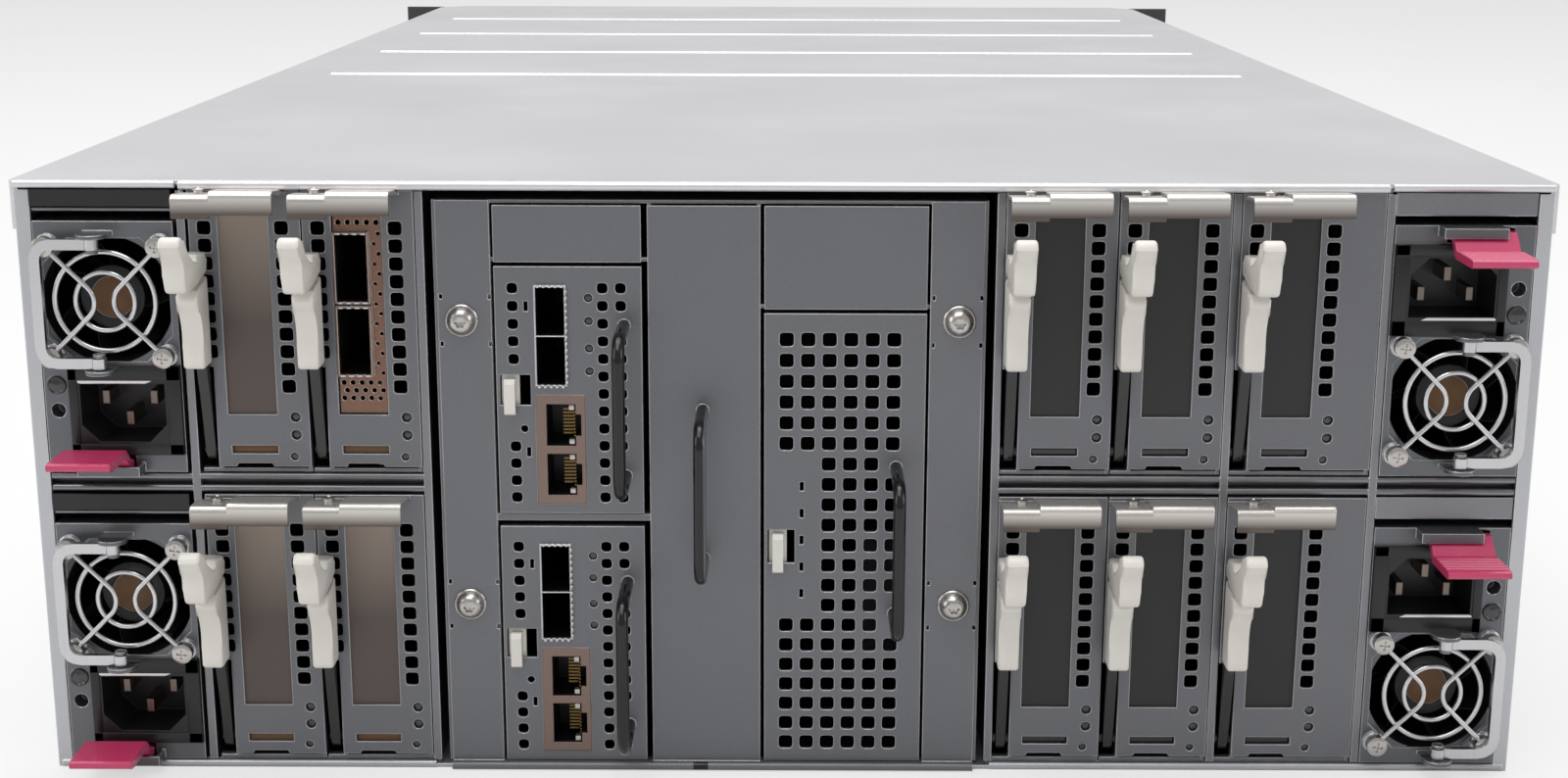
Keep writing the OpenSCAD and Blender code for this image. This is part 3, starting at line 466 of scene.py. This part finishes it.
def set_fittings(name, places, build, material, body, turn=0.0):
    """One fitting, made by build, on every place, as one plain mesh on a body."""
    bm = bmesh.new()
    build(bm)
    bmesh.ops.remove_doubles(bm, verts=bm.verts, dist=MERGE)
    bmesh.ops.recalc_face_normals(bm, faces=bm.faces)
    mesh = bpy.data.meshes.new(name + "_one")
    bm.to_mesh(mesh)
    bm.free()
    one = bpy.data.objects.new(name + "_one", mesh)
    bpy.context.scene.collection.objects.link(one)
    seats = bpy.data.meshes.new(name + "_seats")
    seats.from_pydata([tuple(p) for p in places], [], [])
    holder = bpy.data.objects.new(name + "_seats", seats)
    bpy.context.scene.collection.objects.link(holder)
    modifier = holder.modifiers.new("fittings", "NODES")
    modifier.node_group = fitting_tree()
    inputs = {i.name: i.identifier for i in modifier.node_group.interface.items_tree if i.in_out == "INPUT"}
    modifier[inputs["Fitting"]] = one
    modifier[inputs["Size"]] = 1.0
    modifier[inputs["Turn"]] = turn
    modifier[inputs["Finish"]] = material
    bpy.context.view_layer.update()
    graph = bpy.context.evaluated_depsgraph_get()
    baked = bpy.data.meshes.new_from_object(holder.evaluated_get(graph))
    bpy.data.objects.remove(holder)
    bpy.data.objects.remove(one)
    baked.name = name
    obj = bpy.data.objects.new(name, baked)
    bpy.context.scene.collection.objects.link(obj)
    baked.materials.clear()
    baked.materials.append(material)
    baked.shade_smooth()
    baked.set_sharp_from_angle(angle=SHARP)
    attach(obj, body)
    return obj


def here(x, y, z):
    """A fitting is drawn about its own seat, in millimetres."""
    return Vector((x * MM, y * MM, z * MM))


# ---------------------------------------------------------------- places


def supply_place(row, side):
    """Turns a place on a power supply's face into a place in the frame. Right-hand ones stand on their heads."""
    low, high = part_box(f"{row}_{side}_psu_case")
    flip = 1 if side == "left" else -1
    cx = (low.x + high.x) / 2
    foot = low.z if side == "left" else high.z
    return lambda x, y, z: Vector((cx + flip * x * MM, REAR + y * MM, foot + flip * z * MM))


def cartridge_place(row, index):
    low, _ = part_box(f"{row}_cartridge_{index}")
    base = 0 if row == "lower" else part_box("upper_cartridge_1")[0].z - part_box("lower_cartridge_1")[0].z
    return lambda x, y, z: Vector((low.x + (x + 0.3) * MM, REAR + y * MM, base + z * MM))


def module_place(node):
    low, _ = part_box(node)
    return lambda x, y, z: Vector((low.x + x * MM, REAR + y * MM, low.z + z * MM))


# ---------------------------------------------------------------- operators


class CHASSIS_OT_sheets(bpy.types.Operator):
    """Finish the cover, shell, bay frame, ears and board"""

    bl_idname = "chassis.sheets"
    bl_label = "Sheet metal"

    def execute(self, context):
        c = colours()
        dress("top_cover", plated("plated_cover", c.cover, 0.34, 0.55, grain=0.035, edge=1.4))
        shell = plated("plated_shell", linear(186, 188, 192), 0.36, 0.7, grain=0.05, edge=1.4)
        dress("chassis_shell", shell)
        dress("bay_frame", plated("plated_frame", c.frame, 0.3, 0.85, grain=0.06, edge=1.42))
        dress("rack_ears", moulded("ear_powder_coat", linear(52, 54, 57), 0.5, 0.12, grain=500))
        board = moulded("board_mask", linear(18, 52, 34), 0.34, 0.25)
        dress("midplane_board", board)
        for row in ROWS:
            dress(row + "_label_tab", finish_of("black"))
        return {"FINISHED"}


class CHASSIS_OT_supplies(bpy.types.Operator):
    """Finish the power supplies and add fan rotors, screws and inlet rims"""

    bl_idname = "chassis.supplies"
    bl_label = "Power supplies"

    def execute(self, context):
        for row in ROWS:
            for side in SIDES:
                self.supply(row, side)
        return {"FINISHED"}

    def supply(self, row, side):
        name = f"{row}_{side}_psu"
        at = supply_place(row, side)
        centre = at(0, 0, FAN_HEIGHT)

        def corners(x0, x1, y0, y1, z0, z1):
            a, b = at(x0, y0, z0), at(x1, y1, z1)
            return [min(a[k], b[k]) for k in range(3)], [max(a[k], b[k]) for k in range(3)]

        def chamber(f):
            inside = f.tube(centre.x, centre.z, 18.7 * MM) * f.y.above(REAR + 0.8 * MM)
            return inside, linear(16, 16, 18), 0.5, 0.0

        def inlet(f):
            return f.box(*corners(-12.8, 19.8, -0.9, 20, 5.3, 31.9)), linear(20, 20, 22), 0.36, 0.0

        def pins(f):
            mask = f.box(*corners(-6, 12, 5, 15.6, 12, 24))
            return mask, linear(122, 112, 104), 0.3, 0.9

        def guard(f):
            out = f.y.between(REAR - 5 * MM, REAR - 0.3 * MM)
            return out * f.tube(centre.x, centre.z, 26 * MM), linear(206, 206, 208), 0.2, 0.95

        def lamp(f):
            spot = at(-16.2, 0, 25.8)
            return f.tube(spot.x, spot.z, 2.85 * MM), linear(40, 42, 42), 0.3, 0.2

        dress(name + "_case", plated(name + "_plate", linear(104, 106, 110), 0.34, 0.7,
                                     (chamber, inlet, guard, pins, lamp), grain=0.06))
        dress(name + "_bail", finish_of("bright"))
        dress(name + "_latch", finish_of("crimson"))
        self.rotor(name, at)
        seats = [at(x, -4.25, FAN_HEIGHT + z) for x in (-16, 16) for z in (-16, 16)]
        set_fittings(name + "_guard_screws", seats, cross_screw(2.95, 0.62), finish_of("screw"), name,
                     turn=1.4)
        bm = bmesh.new()
        add_block(bm, (-12.75, -1.15, 27.3), (19.65, -0.6, 31.95), at, 0.25 * MM)
        add_block(bm, (-12.75, -1.15, 5.25), (19.65, -0.6, 8.6), at, 0.25 * MM)
        add_block(bm, (-12.75, -1.15, 5.3), (-10.1, -0.6, 31.9), at, 0.25 * MM)
        add_block(bm, (15.5, -1.15, 5.3), (19.65, -0.6, 31.9), at, 0.25 * MM)
        piece(name + "_inlet_rim", bm, finish_of("black"), name)
        bm = bmesh.new()
        spot = lambda x, y, z: at(-16.2 + x, -0.5 + y, 25.8 + z)
        add_lathe(bm, [(2.7, 0), (2.7, 0.35), (2.2, 0.5), (1.9, 0.2), (1.2, 0.35), (0.4, 0.5)], spot)
        piece(name + "_lamp", bm, finish_of("lens"), name)

    def rotor(self, name, at):
        """A hub with curved blades in place of the plain rotor."""
        bm = bmesh.new()
        at_hub = lambda x, y, z: at(x, y, FAN_HEIGHT + z)
        hub = [(9.6, -24), (9.6, -6.2), (9.2, -5.3), (8.2, -5), (6.6, -5), (6.3, -5.3), (1, -5.3)]
        add_lathe(bm, hub, at_hub)
        blades, steps = 7, 6
        for k in range(blades):
            turn = 2 * math.pi * k / blades
            rows = []
            for s in range(steps + 1):
                radius = 9.2 + (17.2 - 9.2) * s / steps
                lean = 0.05 * s
                row = []
                for w in range(5):
                    along = w / 4 - 0.5
                    swing = turn + lean + along * 0.62
                    y = 14.5 + along * 17 + 1.6 * math.cos(along * math.pi) - 1
                    row.append((radius * math.cos(swing), y, radius * math.sin(swing)))
                rows.append(row)
            for lift in (0, 0.9):
                grid = [[bm.verts.new(at_hub(x, y + lift, z)) for x, y, z in row] for row in rows]
                for a, b in zip(grid, grid[1:]):
                    for w in range(4):
                        bm.faces.new((a[w], b[w], b[w + 1], a[w + 1]))
                if lift == 0:
                    front = grid
            for s in range(steps):
                for w in (0, 4):
                    bm.faces.new((front[s][w], front[s + 1][w], grid[s + 1][w], grid[s][w]))
            for w in range(4):
                bm.faces.new((front[steps][w], front[steps][w + 1], grid[steps][w + 1], grid[steps][w]))
        rotor = piece(name + "_rotor", bm, finish_of("fan"), name + "_fan")
        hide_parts(name + "_fan")
        bm = bmesh.new()
        add_lathe(bm, [(6.2, -5.35), (6.2, -5.2), (5.9, -5.12), (0.4, -5.12)], at_hub)
        piece(name + "_hub_foil", bm, finish_of("sticker"), name + "_fan")


def cross_screw(radius, height):
    """A low round head with a cross recess, on its seat."""
    def build(bm):
        add_lathe(bm, [(radius, 0), (radius, height * 0.4), (radius * 0.8, height * 0.86), (radius * 0.62, height),
                       (cross(radius * 0.52, radius * 0.16), height), (cross(radius * 0.46, radius * 0.12), 0.12)],
                  here)
    return build


class CHASSIS_OT_cartridges(bpy.types.Operator):
    """Finish the cartridges and the card, and mould their levers"""

    bl_idname = "chassis.cartridges"
    bl_label = "Cartridges and levers"

    def execute(self, context):
        for row in ROWS:
            for index in range(1, 6):
                self.cartridge(row, index)
                self.lever(row, index)
        self.card()
        return {"FINISHED"}

    def cartridge(self, row, index):
        name = f"{row}_cartridge_{index}"
        at = cartridge_place(row, index)
        left = index < 3
        window = at(8.15, 0.6, 19.8), at(22.45, 2, 79)
        clip = at(-0.4, -16.2, 79), at(27.8, -0.8, 88)
        plate = linear(94, 84, 80) if left else linear(56, 55, 55)

        def bracket(f):
            # On the left ones the bracket is painted lighter towards the top: a painted highlight.
            glow = f.z.above(at(0, 0, 62).z, 30 * MM) if left else f.z * 0
            tone = f.blend(glow, plate, linear(150, 138, 128))
            return f.box(*window), tone, 0.42, 0.6

        def retainer(f):
            # The clip is painted near white at the top and dark brown below: a painted highlight over a painted
            # reflection.
            painted_top_highlight = f.z.above(at(0, 0, 83.2).z, 5 * MM)
            return f.box(*clip), f.blend(painted_top_highlight, linear(98, 89, 84), linear(222, 218, 212)), 0.26, 0.75

        def inside(f):
            # Surfaces more than 3 mm behind the face are painted dark: painted shade inside the housing.
            return f.y.above(REAR + 3 * MM, 2 * MM), linear(30, 31, 33), 0.5, 0.4

        dress(name, plated(name + "_plate", colours().face, 0.42, 0.55, (inside, bracket, retainer)))
        seats = [at(27.6, 0.9, 19.1), at(27.6, 0.9, 13.8)]
        set_fittings(name + "_lamps", seats, light_pipe(1.45), finish_of("lens"), name)
        set_fittings(name + "_lamp", [at(26.8, 0.9, 7.3)], light_pipe(1.15), finish_of("lens"), name)
        bm = bmesh.new()
        add_block(bm, (8.9, 0.85, 8.3), (22.1, 1.25, 10.5), at, 0.15 * MM)
        piece(name + "_slot_plate", bm, finish_of("sticker") if left else finish_of("arm"), name)
        bm = bmesh.new()
        stud = lambda x, y, z: at(5.6 + x, -8 + z, 86.35 - y)
        add_lathe(bm, [(1.9, 0), (1.9, 0.2), (1.5, 0.5), (0.9, 0.55), (0.7, 0.3)], stud)
        piece(name + "_clip_rivet", bm, finish_of("screw"), name)

    def lever(self, row, index):
        name = f"{row}_lever_{index}"
        at = cartridge_place(row, index)
        bm = bmesh.new()
        width = (-0.3, 5.7)
        trigger = ([(-3.9, 62.4)] + arc(-6.4, 66, 2.5, 0, 90) + arc(-11.4, 67.2, 1.6, 70, 150, 3)
                   + arc(-16.2, 69, 2.6, 320, 240) + [(-22.2, 70.6)] + arc(-28.4, 73.7, 2.6, 20, 180, 8)
                   + arc(-40.2, 66.6, 13.0, 18, -12) + arc(-24.8, 62, 1.9, 200, 285, 4) + [(-15, 60.2)])
        handle = (arc(-5.5, 37.6, 1.6, 270, 360, 3) + [(-3.9, 61.2), (-7, 60.6)] + arc(-13.6, 57.2, 1.7, 75, 120, 3)
                  + arc(-15.2, 56.2, 1.4, 120, 200, 3) + arc(-25.6, 45.4, 13.8, 38, -22, 7)
                  + arc(-11.4, 37.4, 1.5, 190, 270, 3))
        for outline in (trigger, handle):
            add_extrusion(bm, outline, *width, at, sizes().edge)
        grip = piece(name + "_grip", bm, finish_of("ivory"), name, flat_angle=50)
        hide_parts(name)
        bm = bmesh.new()
        arm = ([(-3.8, 34), (-1.6, 24)] + arc(4.2, 8.6, 3.4, 170, 370, 10) + [(1.6, 24), (-0.4, 34), (-0.4, 65.5),
                                                                           (-3.8, 65.5)])
        add_extrusion(bm, arm, 0.9, 3.9, at, 0.35 * MM, 2)
        piece(name + "_arm", bm, finish_of("arm"), name, flat_angle=50)

    def card(self):
        at = cartridge_place("upper", 2)
        c = colours()

        def cage_room(f):
            # The inside of the cage is painted dark: painted shade.
            low, high = at(8.9, 1.5, 31), at(18.7, 70, 74)
            return f.box(low, high), linear(44, 36, 32), 0.4, 0.6

        dress("network_card", plated("toned_bracket", c.copper, 0.3, 0.8, (cage_room,), grain=0.08, edge=1.3))
        seats = [at(x, -0.6, z0 + 0.3 + k * 19.9) for z0 in (31.3, 52.6) for k in (0, 1) for x in (10, 12.4,
                                                                                                   14.8, 17.2)]
        set_fittings("card_cage_fingers", seats, finger(1.5), finish_of("bright"), "upper_cartridge_2")


def light_pipe(radius):
    """A domed light pipe that fills its hole."""
    def build(bm):
        add_lathe(bm, [(radius, -1), (radius, 0), (radius * 0.8, 0.25), (radius * 0.3, 0.35)], here)
    return build


def finger(width):
    """One sprung finger of a port's shield."""
    def build(bm):
        add_block(bm, (-width / 2, -0.35, -0.3), (width / 2, 0.3, 0.3), here, 0.1 * MM)
    return build


class CHASSIS_OT_tray(bpy.types.Operator):
    """Finish the I/O tray and its modules, and add contacts, fingers and screws"""

    bl_idname = "chassis.tray"
    bl_label = "I/O tray"

    def execute(self, context):
        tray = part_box("io_tray")
        face = colours().face

        def wire(f, places):
            """Mask of the pull handles that stand out at these places."""
            mask = f.y * 0
            for x in places:
                mask = mask + f.x.between(x - 2.2 * MM, x + 2.2 * MM)
            return mask * (1 - f.y.above(REAR - 0.4 * MM))

        def handle(x):
            return lambda f: (wire(f, [x]), linear(8, 8, 9), 0.14, 0.0)

        def inside(f):
            # Surfaces more than 3 mm behind the face are painted dark: painted shade inside the tray and its modules.
            return f.y.above(REAR + 3 * MM, 2 * MM), linear(34, 35, 37), 0.5, 0.4

        middle = tray[0].x + 1 * MM + (74.3 * MM)
        dress("io_tray", plated("tray_plate", face, 0.4, 0.55, (inside, handle(middle))))
        for row in ROWS:
            name = row + "_network_module"
            at = module_place(name)

            def jacks(f, at=at):
                return (f.box(at(11.1, -0.6, 2.9), at(25.5, 0.3, 35.5)), linear(128, 110, 102), 0.3, 0.8)

            def jack_room(f, at=at):
                return (f.box(at(11.5, 0.35, 3), at(25.2, 17, 35.3)), linear(14, 14, 15), 0.4, 0.1)

            def cage(f, at=at):
                return (f.box(at(11.2, -0.7, 38), at(20.4, 0.6, 67.6)), linear(206, 206, 208), 0.2, 0.9)

            def cage_room(f, at=at):
                # The inside of the optical cage is painted dark: painted shade.
                return (f.box(at(11.2, 0.6, 38), at(20.4, 60, 67.6)), linear(26, 25, 25), 0.4, 0.5)

            dress(name, plated(name + "_plate", face, 0.4, 0.55,
                               (inside, cage_room, jack_room, jacks, cage, handle(at(36.9, 0, 0).x))))
            dress(row + "_network_latch", finish_of("ivory"))
            self.jacks(name, at)
            self.fingers(name, at)
            seats = [at(26.8, 0.9, z) for z in (42.5, 49.2, 57.2, 63.9)]
            set_fittings(name + "_lamps", seats, light_pipe(1.2), finish_of("lens"), name)
        name = "management_module"
        at = module_place(name)
        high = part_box(name)[1]
        dress(name, plated("management_plate", face, 0.4, 0.55, (inside, handle(high.x - 8.2 * MM))))
        dress("management_latch", finish_of("ivory"))
        self.captive_screws()
        return {"FINISHED"}

    def jacks(self, name, at):
        """Gold contacts and corner lamps in both jacks."""
        contacts, lamps = [], []
        for foot in (5.6, 20.4):
            contacts += [at(22.1, 5, foot + 2.6 + k * 1.02) for k in range(8)]
            lamps += [at(x, 1.2, foot + z) for x, z in ((21.4, 1.1), (21.4, 11.3))]
        width = sizes().contact / MM

        def contact(bm):
            add_block(bm, (-3.6, -0.2, -width / 2), (0.2, 0.2, width / 2), here)
            add_block(bm, (-0.2, -3.5, -width / 2), (0.2, 0.2, width / 2), here)

        def lamp(bm):
            add_block(bm, (-0.8, -1, -0.8), (0.8, 1, 0.8), here, 0.2 * MM)

        set_fittings(name + "_contacts", contacts, contact, finish_of("gold"), name)
        set_fittings(name + "_jack_lamps", lamps, lamp, finish_of("screw"), name)

    def fingers(self, name, at):
        """Sprung fingers round the mouths of the optical cages."""
        seats = [at(20.35, -0.5, 39.5 + k * 1.9) for k in range(15)]
        seats += [at(12.4 + k * 1.7, -0.5, z) for k in range(5) for z in (67.45, 38.1)]

        def bead(bm):
            add_block(bm, (-0.4, -0.35, -0.5), (0.4, 0.3, 0.5), here, 0.12 * MM)

        set_fittings(name + "_fingers", seats, bead, finish_of("bright"), name)

    def captive_screws(self):
        """Domed heads with a collar and a six-lobed recess in place of the plain ones."""
        low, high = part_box("captive_screws")
        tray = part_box("io_tray")
        half = 4.8 * MM
        bm = bmesh.new()
        for x in (low.x + half, high.x - half):
            for z in (low.z + half, high.z - half):
                at = lambda a, b, c, x=x, z=z: Vector((x + a * MM, REAR + b * MM, z + c * MM))
                add_lathe(bm, [(2.2, -11), (2.2, 0.02), (4.8, 0.02), (4.8, 0.5), (4.5, 0.9), (4.35, 0.95), (4.2, 0.9),
                               (4.0, 1.3), (3.4, 2.4), (2.7, 3.1), (2.1, 3.4), (star(1.75, 1.3), 3.45),
                               (star(1.65, 1.2), 1.9), (0.5, 1.7)], at)
        heads = piece("captive_screw_heads", bm, finish_of("screw"), "io_tray")
        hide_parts("captive_screws")


class CHASSIS_OT_blades(bpy.types.Operator):
    """Finish the blades and their ejector levers"""

    bl_idname = "chassis.blades"
    bl_label = "Blades"

    def execute(self, context):
        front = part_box("rack_ears")[1].y

        def inside(f):
            return (1 - f.y.above(front - 3 * MM, 1 * MM)), linear(120, 122, 126), 0.42, 0.7

        def cell(f):
            # The cells behind the blade face are painted dark: painted shade.
            behind = f.y.between(front - 40 * MM, front - 2.9 * MM)
            return behind, linear(26, 27, 29), 0.5, 0.3

        face = plated("blade_plate", linear(70, 73, 78), 0.42, 0.5, (inside, cell), grain=0.06, edge=0.9)
        grip = moulded("blade_lever_paint", linear(38, 39, 42), 0.36, 0.1, coat=0.2)
        for k in range(1, 5):
            dress(f"blade_{k}", face)
            dress(f"blade_lever_{k}", grip)
            low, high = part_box(f"blade_{k}")
            seats = [Vector((high.x - (9 + 5 * n) * MM, front - 0.2 * MM, low.z + 5.5 * MM)) for n in range(3)]

            def pipe(bm):
                flip = lambda x, y, z: here(x, -y, z)
                add_lathe(bm, [(1.2, -0.4), (1.2, 0.1), (0.9, 0.3), (0.3, 0.35)], flip)

            set_fittings(f"blade_{k}_lamps", seats, pipe, finish_of("lens"), f"blade_{k}")
        return {"FINISHED"}


class CHASSIS_OT_cover_marks(bpy.types.Operator):
    """Press the joints of the inner frame into the cover"""

    bl_idname = "chassis.cover_marks"
    bl_label = "Cover marks"

    def execute(self, context):
        marks = [(-204, 150), (-204, 62), (-99, 159), (-121, 52), (-101, 41), (59, 164), (98, 129), (61, 38),
                 (171, 242), (194, 104), (-170, 96), (-62, 236), (10, 228), (128, 62), (-150, 214), (40, 96)]
        seats = [Vector((x * MM, REAR + y * MM, TOP)) for x, y in marks]

        def clinch(bm):
            up = lambda x, y, z: here(x, z, -y)
            add_lathe(bm, [(2.7, -0.3), (2.7, -0.06), (2.3, -0.01), (1.9, -0.05), (1.5, -0.14)], up, closed=False)

        set_fittings("cover_clinches", seats, clinch, frame["nodes"]["top_cover"].material_slots[0].material,
                     "chassis")
        return {"FINISHED"}


class CHASSIS_OT_stage(bpy.types.Operator):
    """Set the floor, the lights and the camera"""

    bl_idname = "chassis.stage"
    bl_label = "Stage"

    def execute(self, context):
        self.floor()
        self.world()
        self.lamp("key", (-0.3, -0.9, 2.2), (0, 0.0, 0.1), 1.8, 26)
        self.lamp("top", (0, 0.6, 2.4), (0, 0.1, 0.1), 2.4, 30)
        self.lamp("left", (-2.2, -0.9, 0.9), (0, -0.3, 0.1), 1.2, 9)
        self.lamp("right", (2.2, -0.9, 0.9), (0, -0.3, 0.1), 1.2, 9)
        self.camera()
        return {"FINISHED"}

    def floor(self):
        bm = bmesh.new()
        bmesh.ops.create_grid(bm, x_segments=1, y_segments=1, size=6)
        mesh = bpy.data.meshes.new("floor")
        bm.to_mesh(mesh)
        bm.free()
        floor = bpy.data.objects.new("floor", mesh)
        bpy.context.scene.collection.objects.link(floor)
        finish = Finish("pale_floor", Roughness=0.9)
        cloud = finish.noise(3, 2.0)
        finish.feed(Base_Color=finish.blend(cloud, linear(226, 226, 226), linear(232, 232, 232)))
        seen = finish.node("ShaderNodeLightPath", output="Is Camera Ray")
        glow = finish.node("ShaderNodeEmission", {"Color": (1, 1, 1, 1), "Strength": 1.0})
        mixed = finish.node("ShaderNodeMixShader", {0: seen * 0.6, 1: Val(finish, finish.shader.outputs[0]), 2: glow})
        finish.tree.links.new(mixed.socket, finish.tree.get_output_node("ALL").inputs[0])
        mesh.materials.append(finish.material)

    def world(self):
        world = bpy.data.worlds.new("studio")
        world.use_nodes = True
        bpy.context.scene.world = world
        tree = world.node_tree
        tree.nodes.clear()
        out = tree.nodes.new("ShaderNodeOutputWorld")
        mix = tree.nodes.new("ShaderNodeMixShader")
        seen = tree.nodes.new("ShaderNodeBackground")
        room = tree.nodes.new("ShaderNodeBackground")
        seen.inputs["Color"].default_value = (1, 1, 1, 1)
        room.inputs["Color"].default_value = (0.5, 0.5, 0.5, 1)
        path = tree.nodes.new("ShaderNodeLightPath")
        tree.links.new(path.outputs["Is Camera Ray"], mix.inputs[0])
        tree.links.new(room.outputs[0], mix.inputs[1])
        tree.links.new(seen.outputs[0], mix.inputs[2])
        tree.links.new(mix.outputs[0], out.inputs[0])

    def lamp(self, name, place, target, size, power):
        light = bpy.data.lights.new(name, "AREA")
        light.shape = "SQUARE"
        light.size = size
        light.energy = power
        obj = bpy.data.objects.new(name, light)
        obj.location = place
        obj.rotation_euler = (Vector(target) - Vector(place)).to_track_quat("-Z", "Y").to_euler()
        bpy.context.scene.collection.objects.link(obj)

    def camera(self):
        """Looks along +Y from above the middle of the rear face."""
        pitch, yaw, roll = math.radians(13.518), 0.0015, -0.0030
        across = Vector((math.cos(yaw), math.sin(yaw), 0))
        level = Vector((-math.sin(yaw), math.cos(yaw), 0))
        ahead = level * math.cos(pitch) - Vector((0, 0, math.sin(pitch)))
        up = level * math.sin(pitch) + Vector((0, 0, math.cos(pitch)))
        right = across * math.cos(roll) - up * math.sin(roll)
        top = across * math.sin(roll) + up * math.cos(roll)
        turn = Matrix((right, top, -ahead)).transposed()
        camera = bpy.data.cameras.new("camera")
        camera.sensor_fit = "HORIZONTAL"
        camera.sensor_width = 36
        camera.lens = 36 * 2208.9 / 1600
        camera.clip_start = 0.01
        obj = bpy.data.objects.new("camera", camera)
        bpy.context.scene.collection.objects.link(obj)
        obj.matrix_world = Matrix.Translation(point(1.114, -605.32, 262.69)) @ turn.to_4x4()
        bpy.context.scene.camera = obj


OPERATORS = (CHASSIS_OT_stage, CHASSIS_OT_sheets, CHASSIS_OT_supplies, CHASSIS_OT_cartridges, CHASSIS_OT_tray,
             CHASSIS_OT_blades, CHASSIS_OT_cover_marks)


class CHASSIS_PT_panel(bpy.types.Panel):
    """Lists the settings and the steps"""

    bl_label = "Chassis"
    bl_idname = "CHASSIS_PT_panel"
    bl_space_type = "VIEW_3D"
    bl_region_type = "UI"
    bl_category = "Chassis"

    def draw(self, context):
        for group in (colours(), sizes()):
            for key in group.__annotations__:
                self.layout.prop(group, key)
        for operator in OPERATORS:
            self.layout.operator(operator.bl_idname)


CLASSES = (ChassisColours, ChassisSizes) + OPERATORS + (CHASSIS_PT_panel,)


def register():
    for cls in CLASSES:
        bpy.utils.register_class(cls)
    bpy.types.Scene.chassis_colours = PointerProperty(type=ChassisColours)
    bpy.types.Scene.chassis_sizes = PointerProperty(type=ChassisSizes)


def unregister():
    del bpy.types.Scene.chassis_colours
    del bpy.types.Scene.chassis_sizes
    for cls in reversed(CLASSES):
        bpy.utils.unregister_class(cls)


def main():
    register()
    bpy.context.scene.view_settings.view_transform = "Standard"
    for operator in OPERATORS:
        area, step = operator.bl_idname.split(".")
        getattr(getattr(bpy.ops, area), step)()


if __name__ == "__main__":
    main()
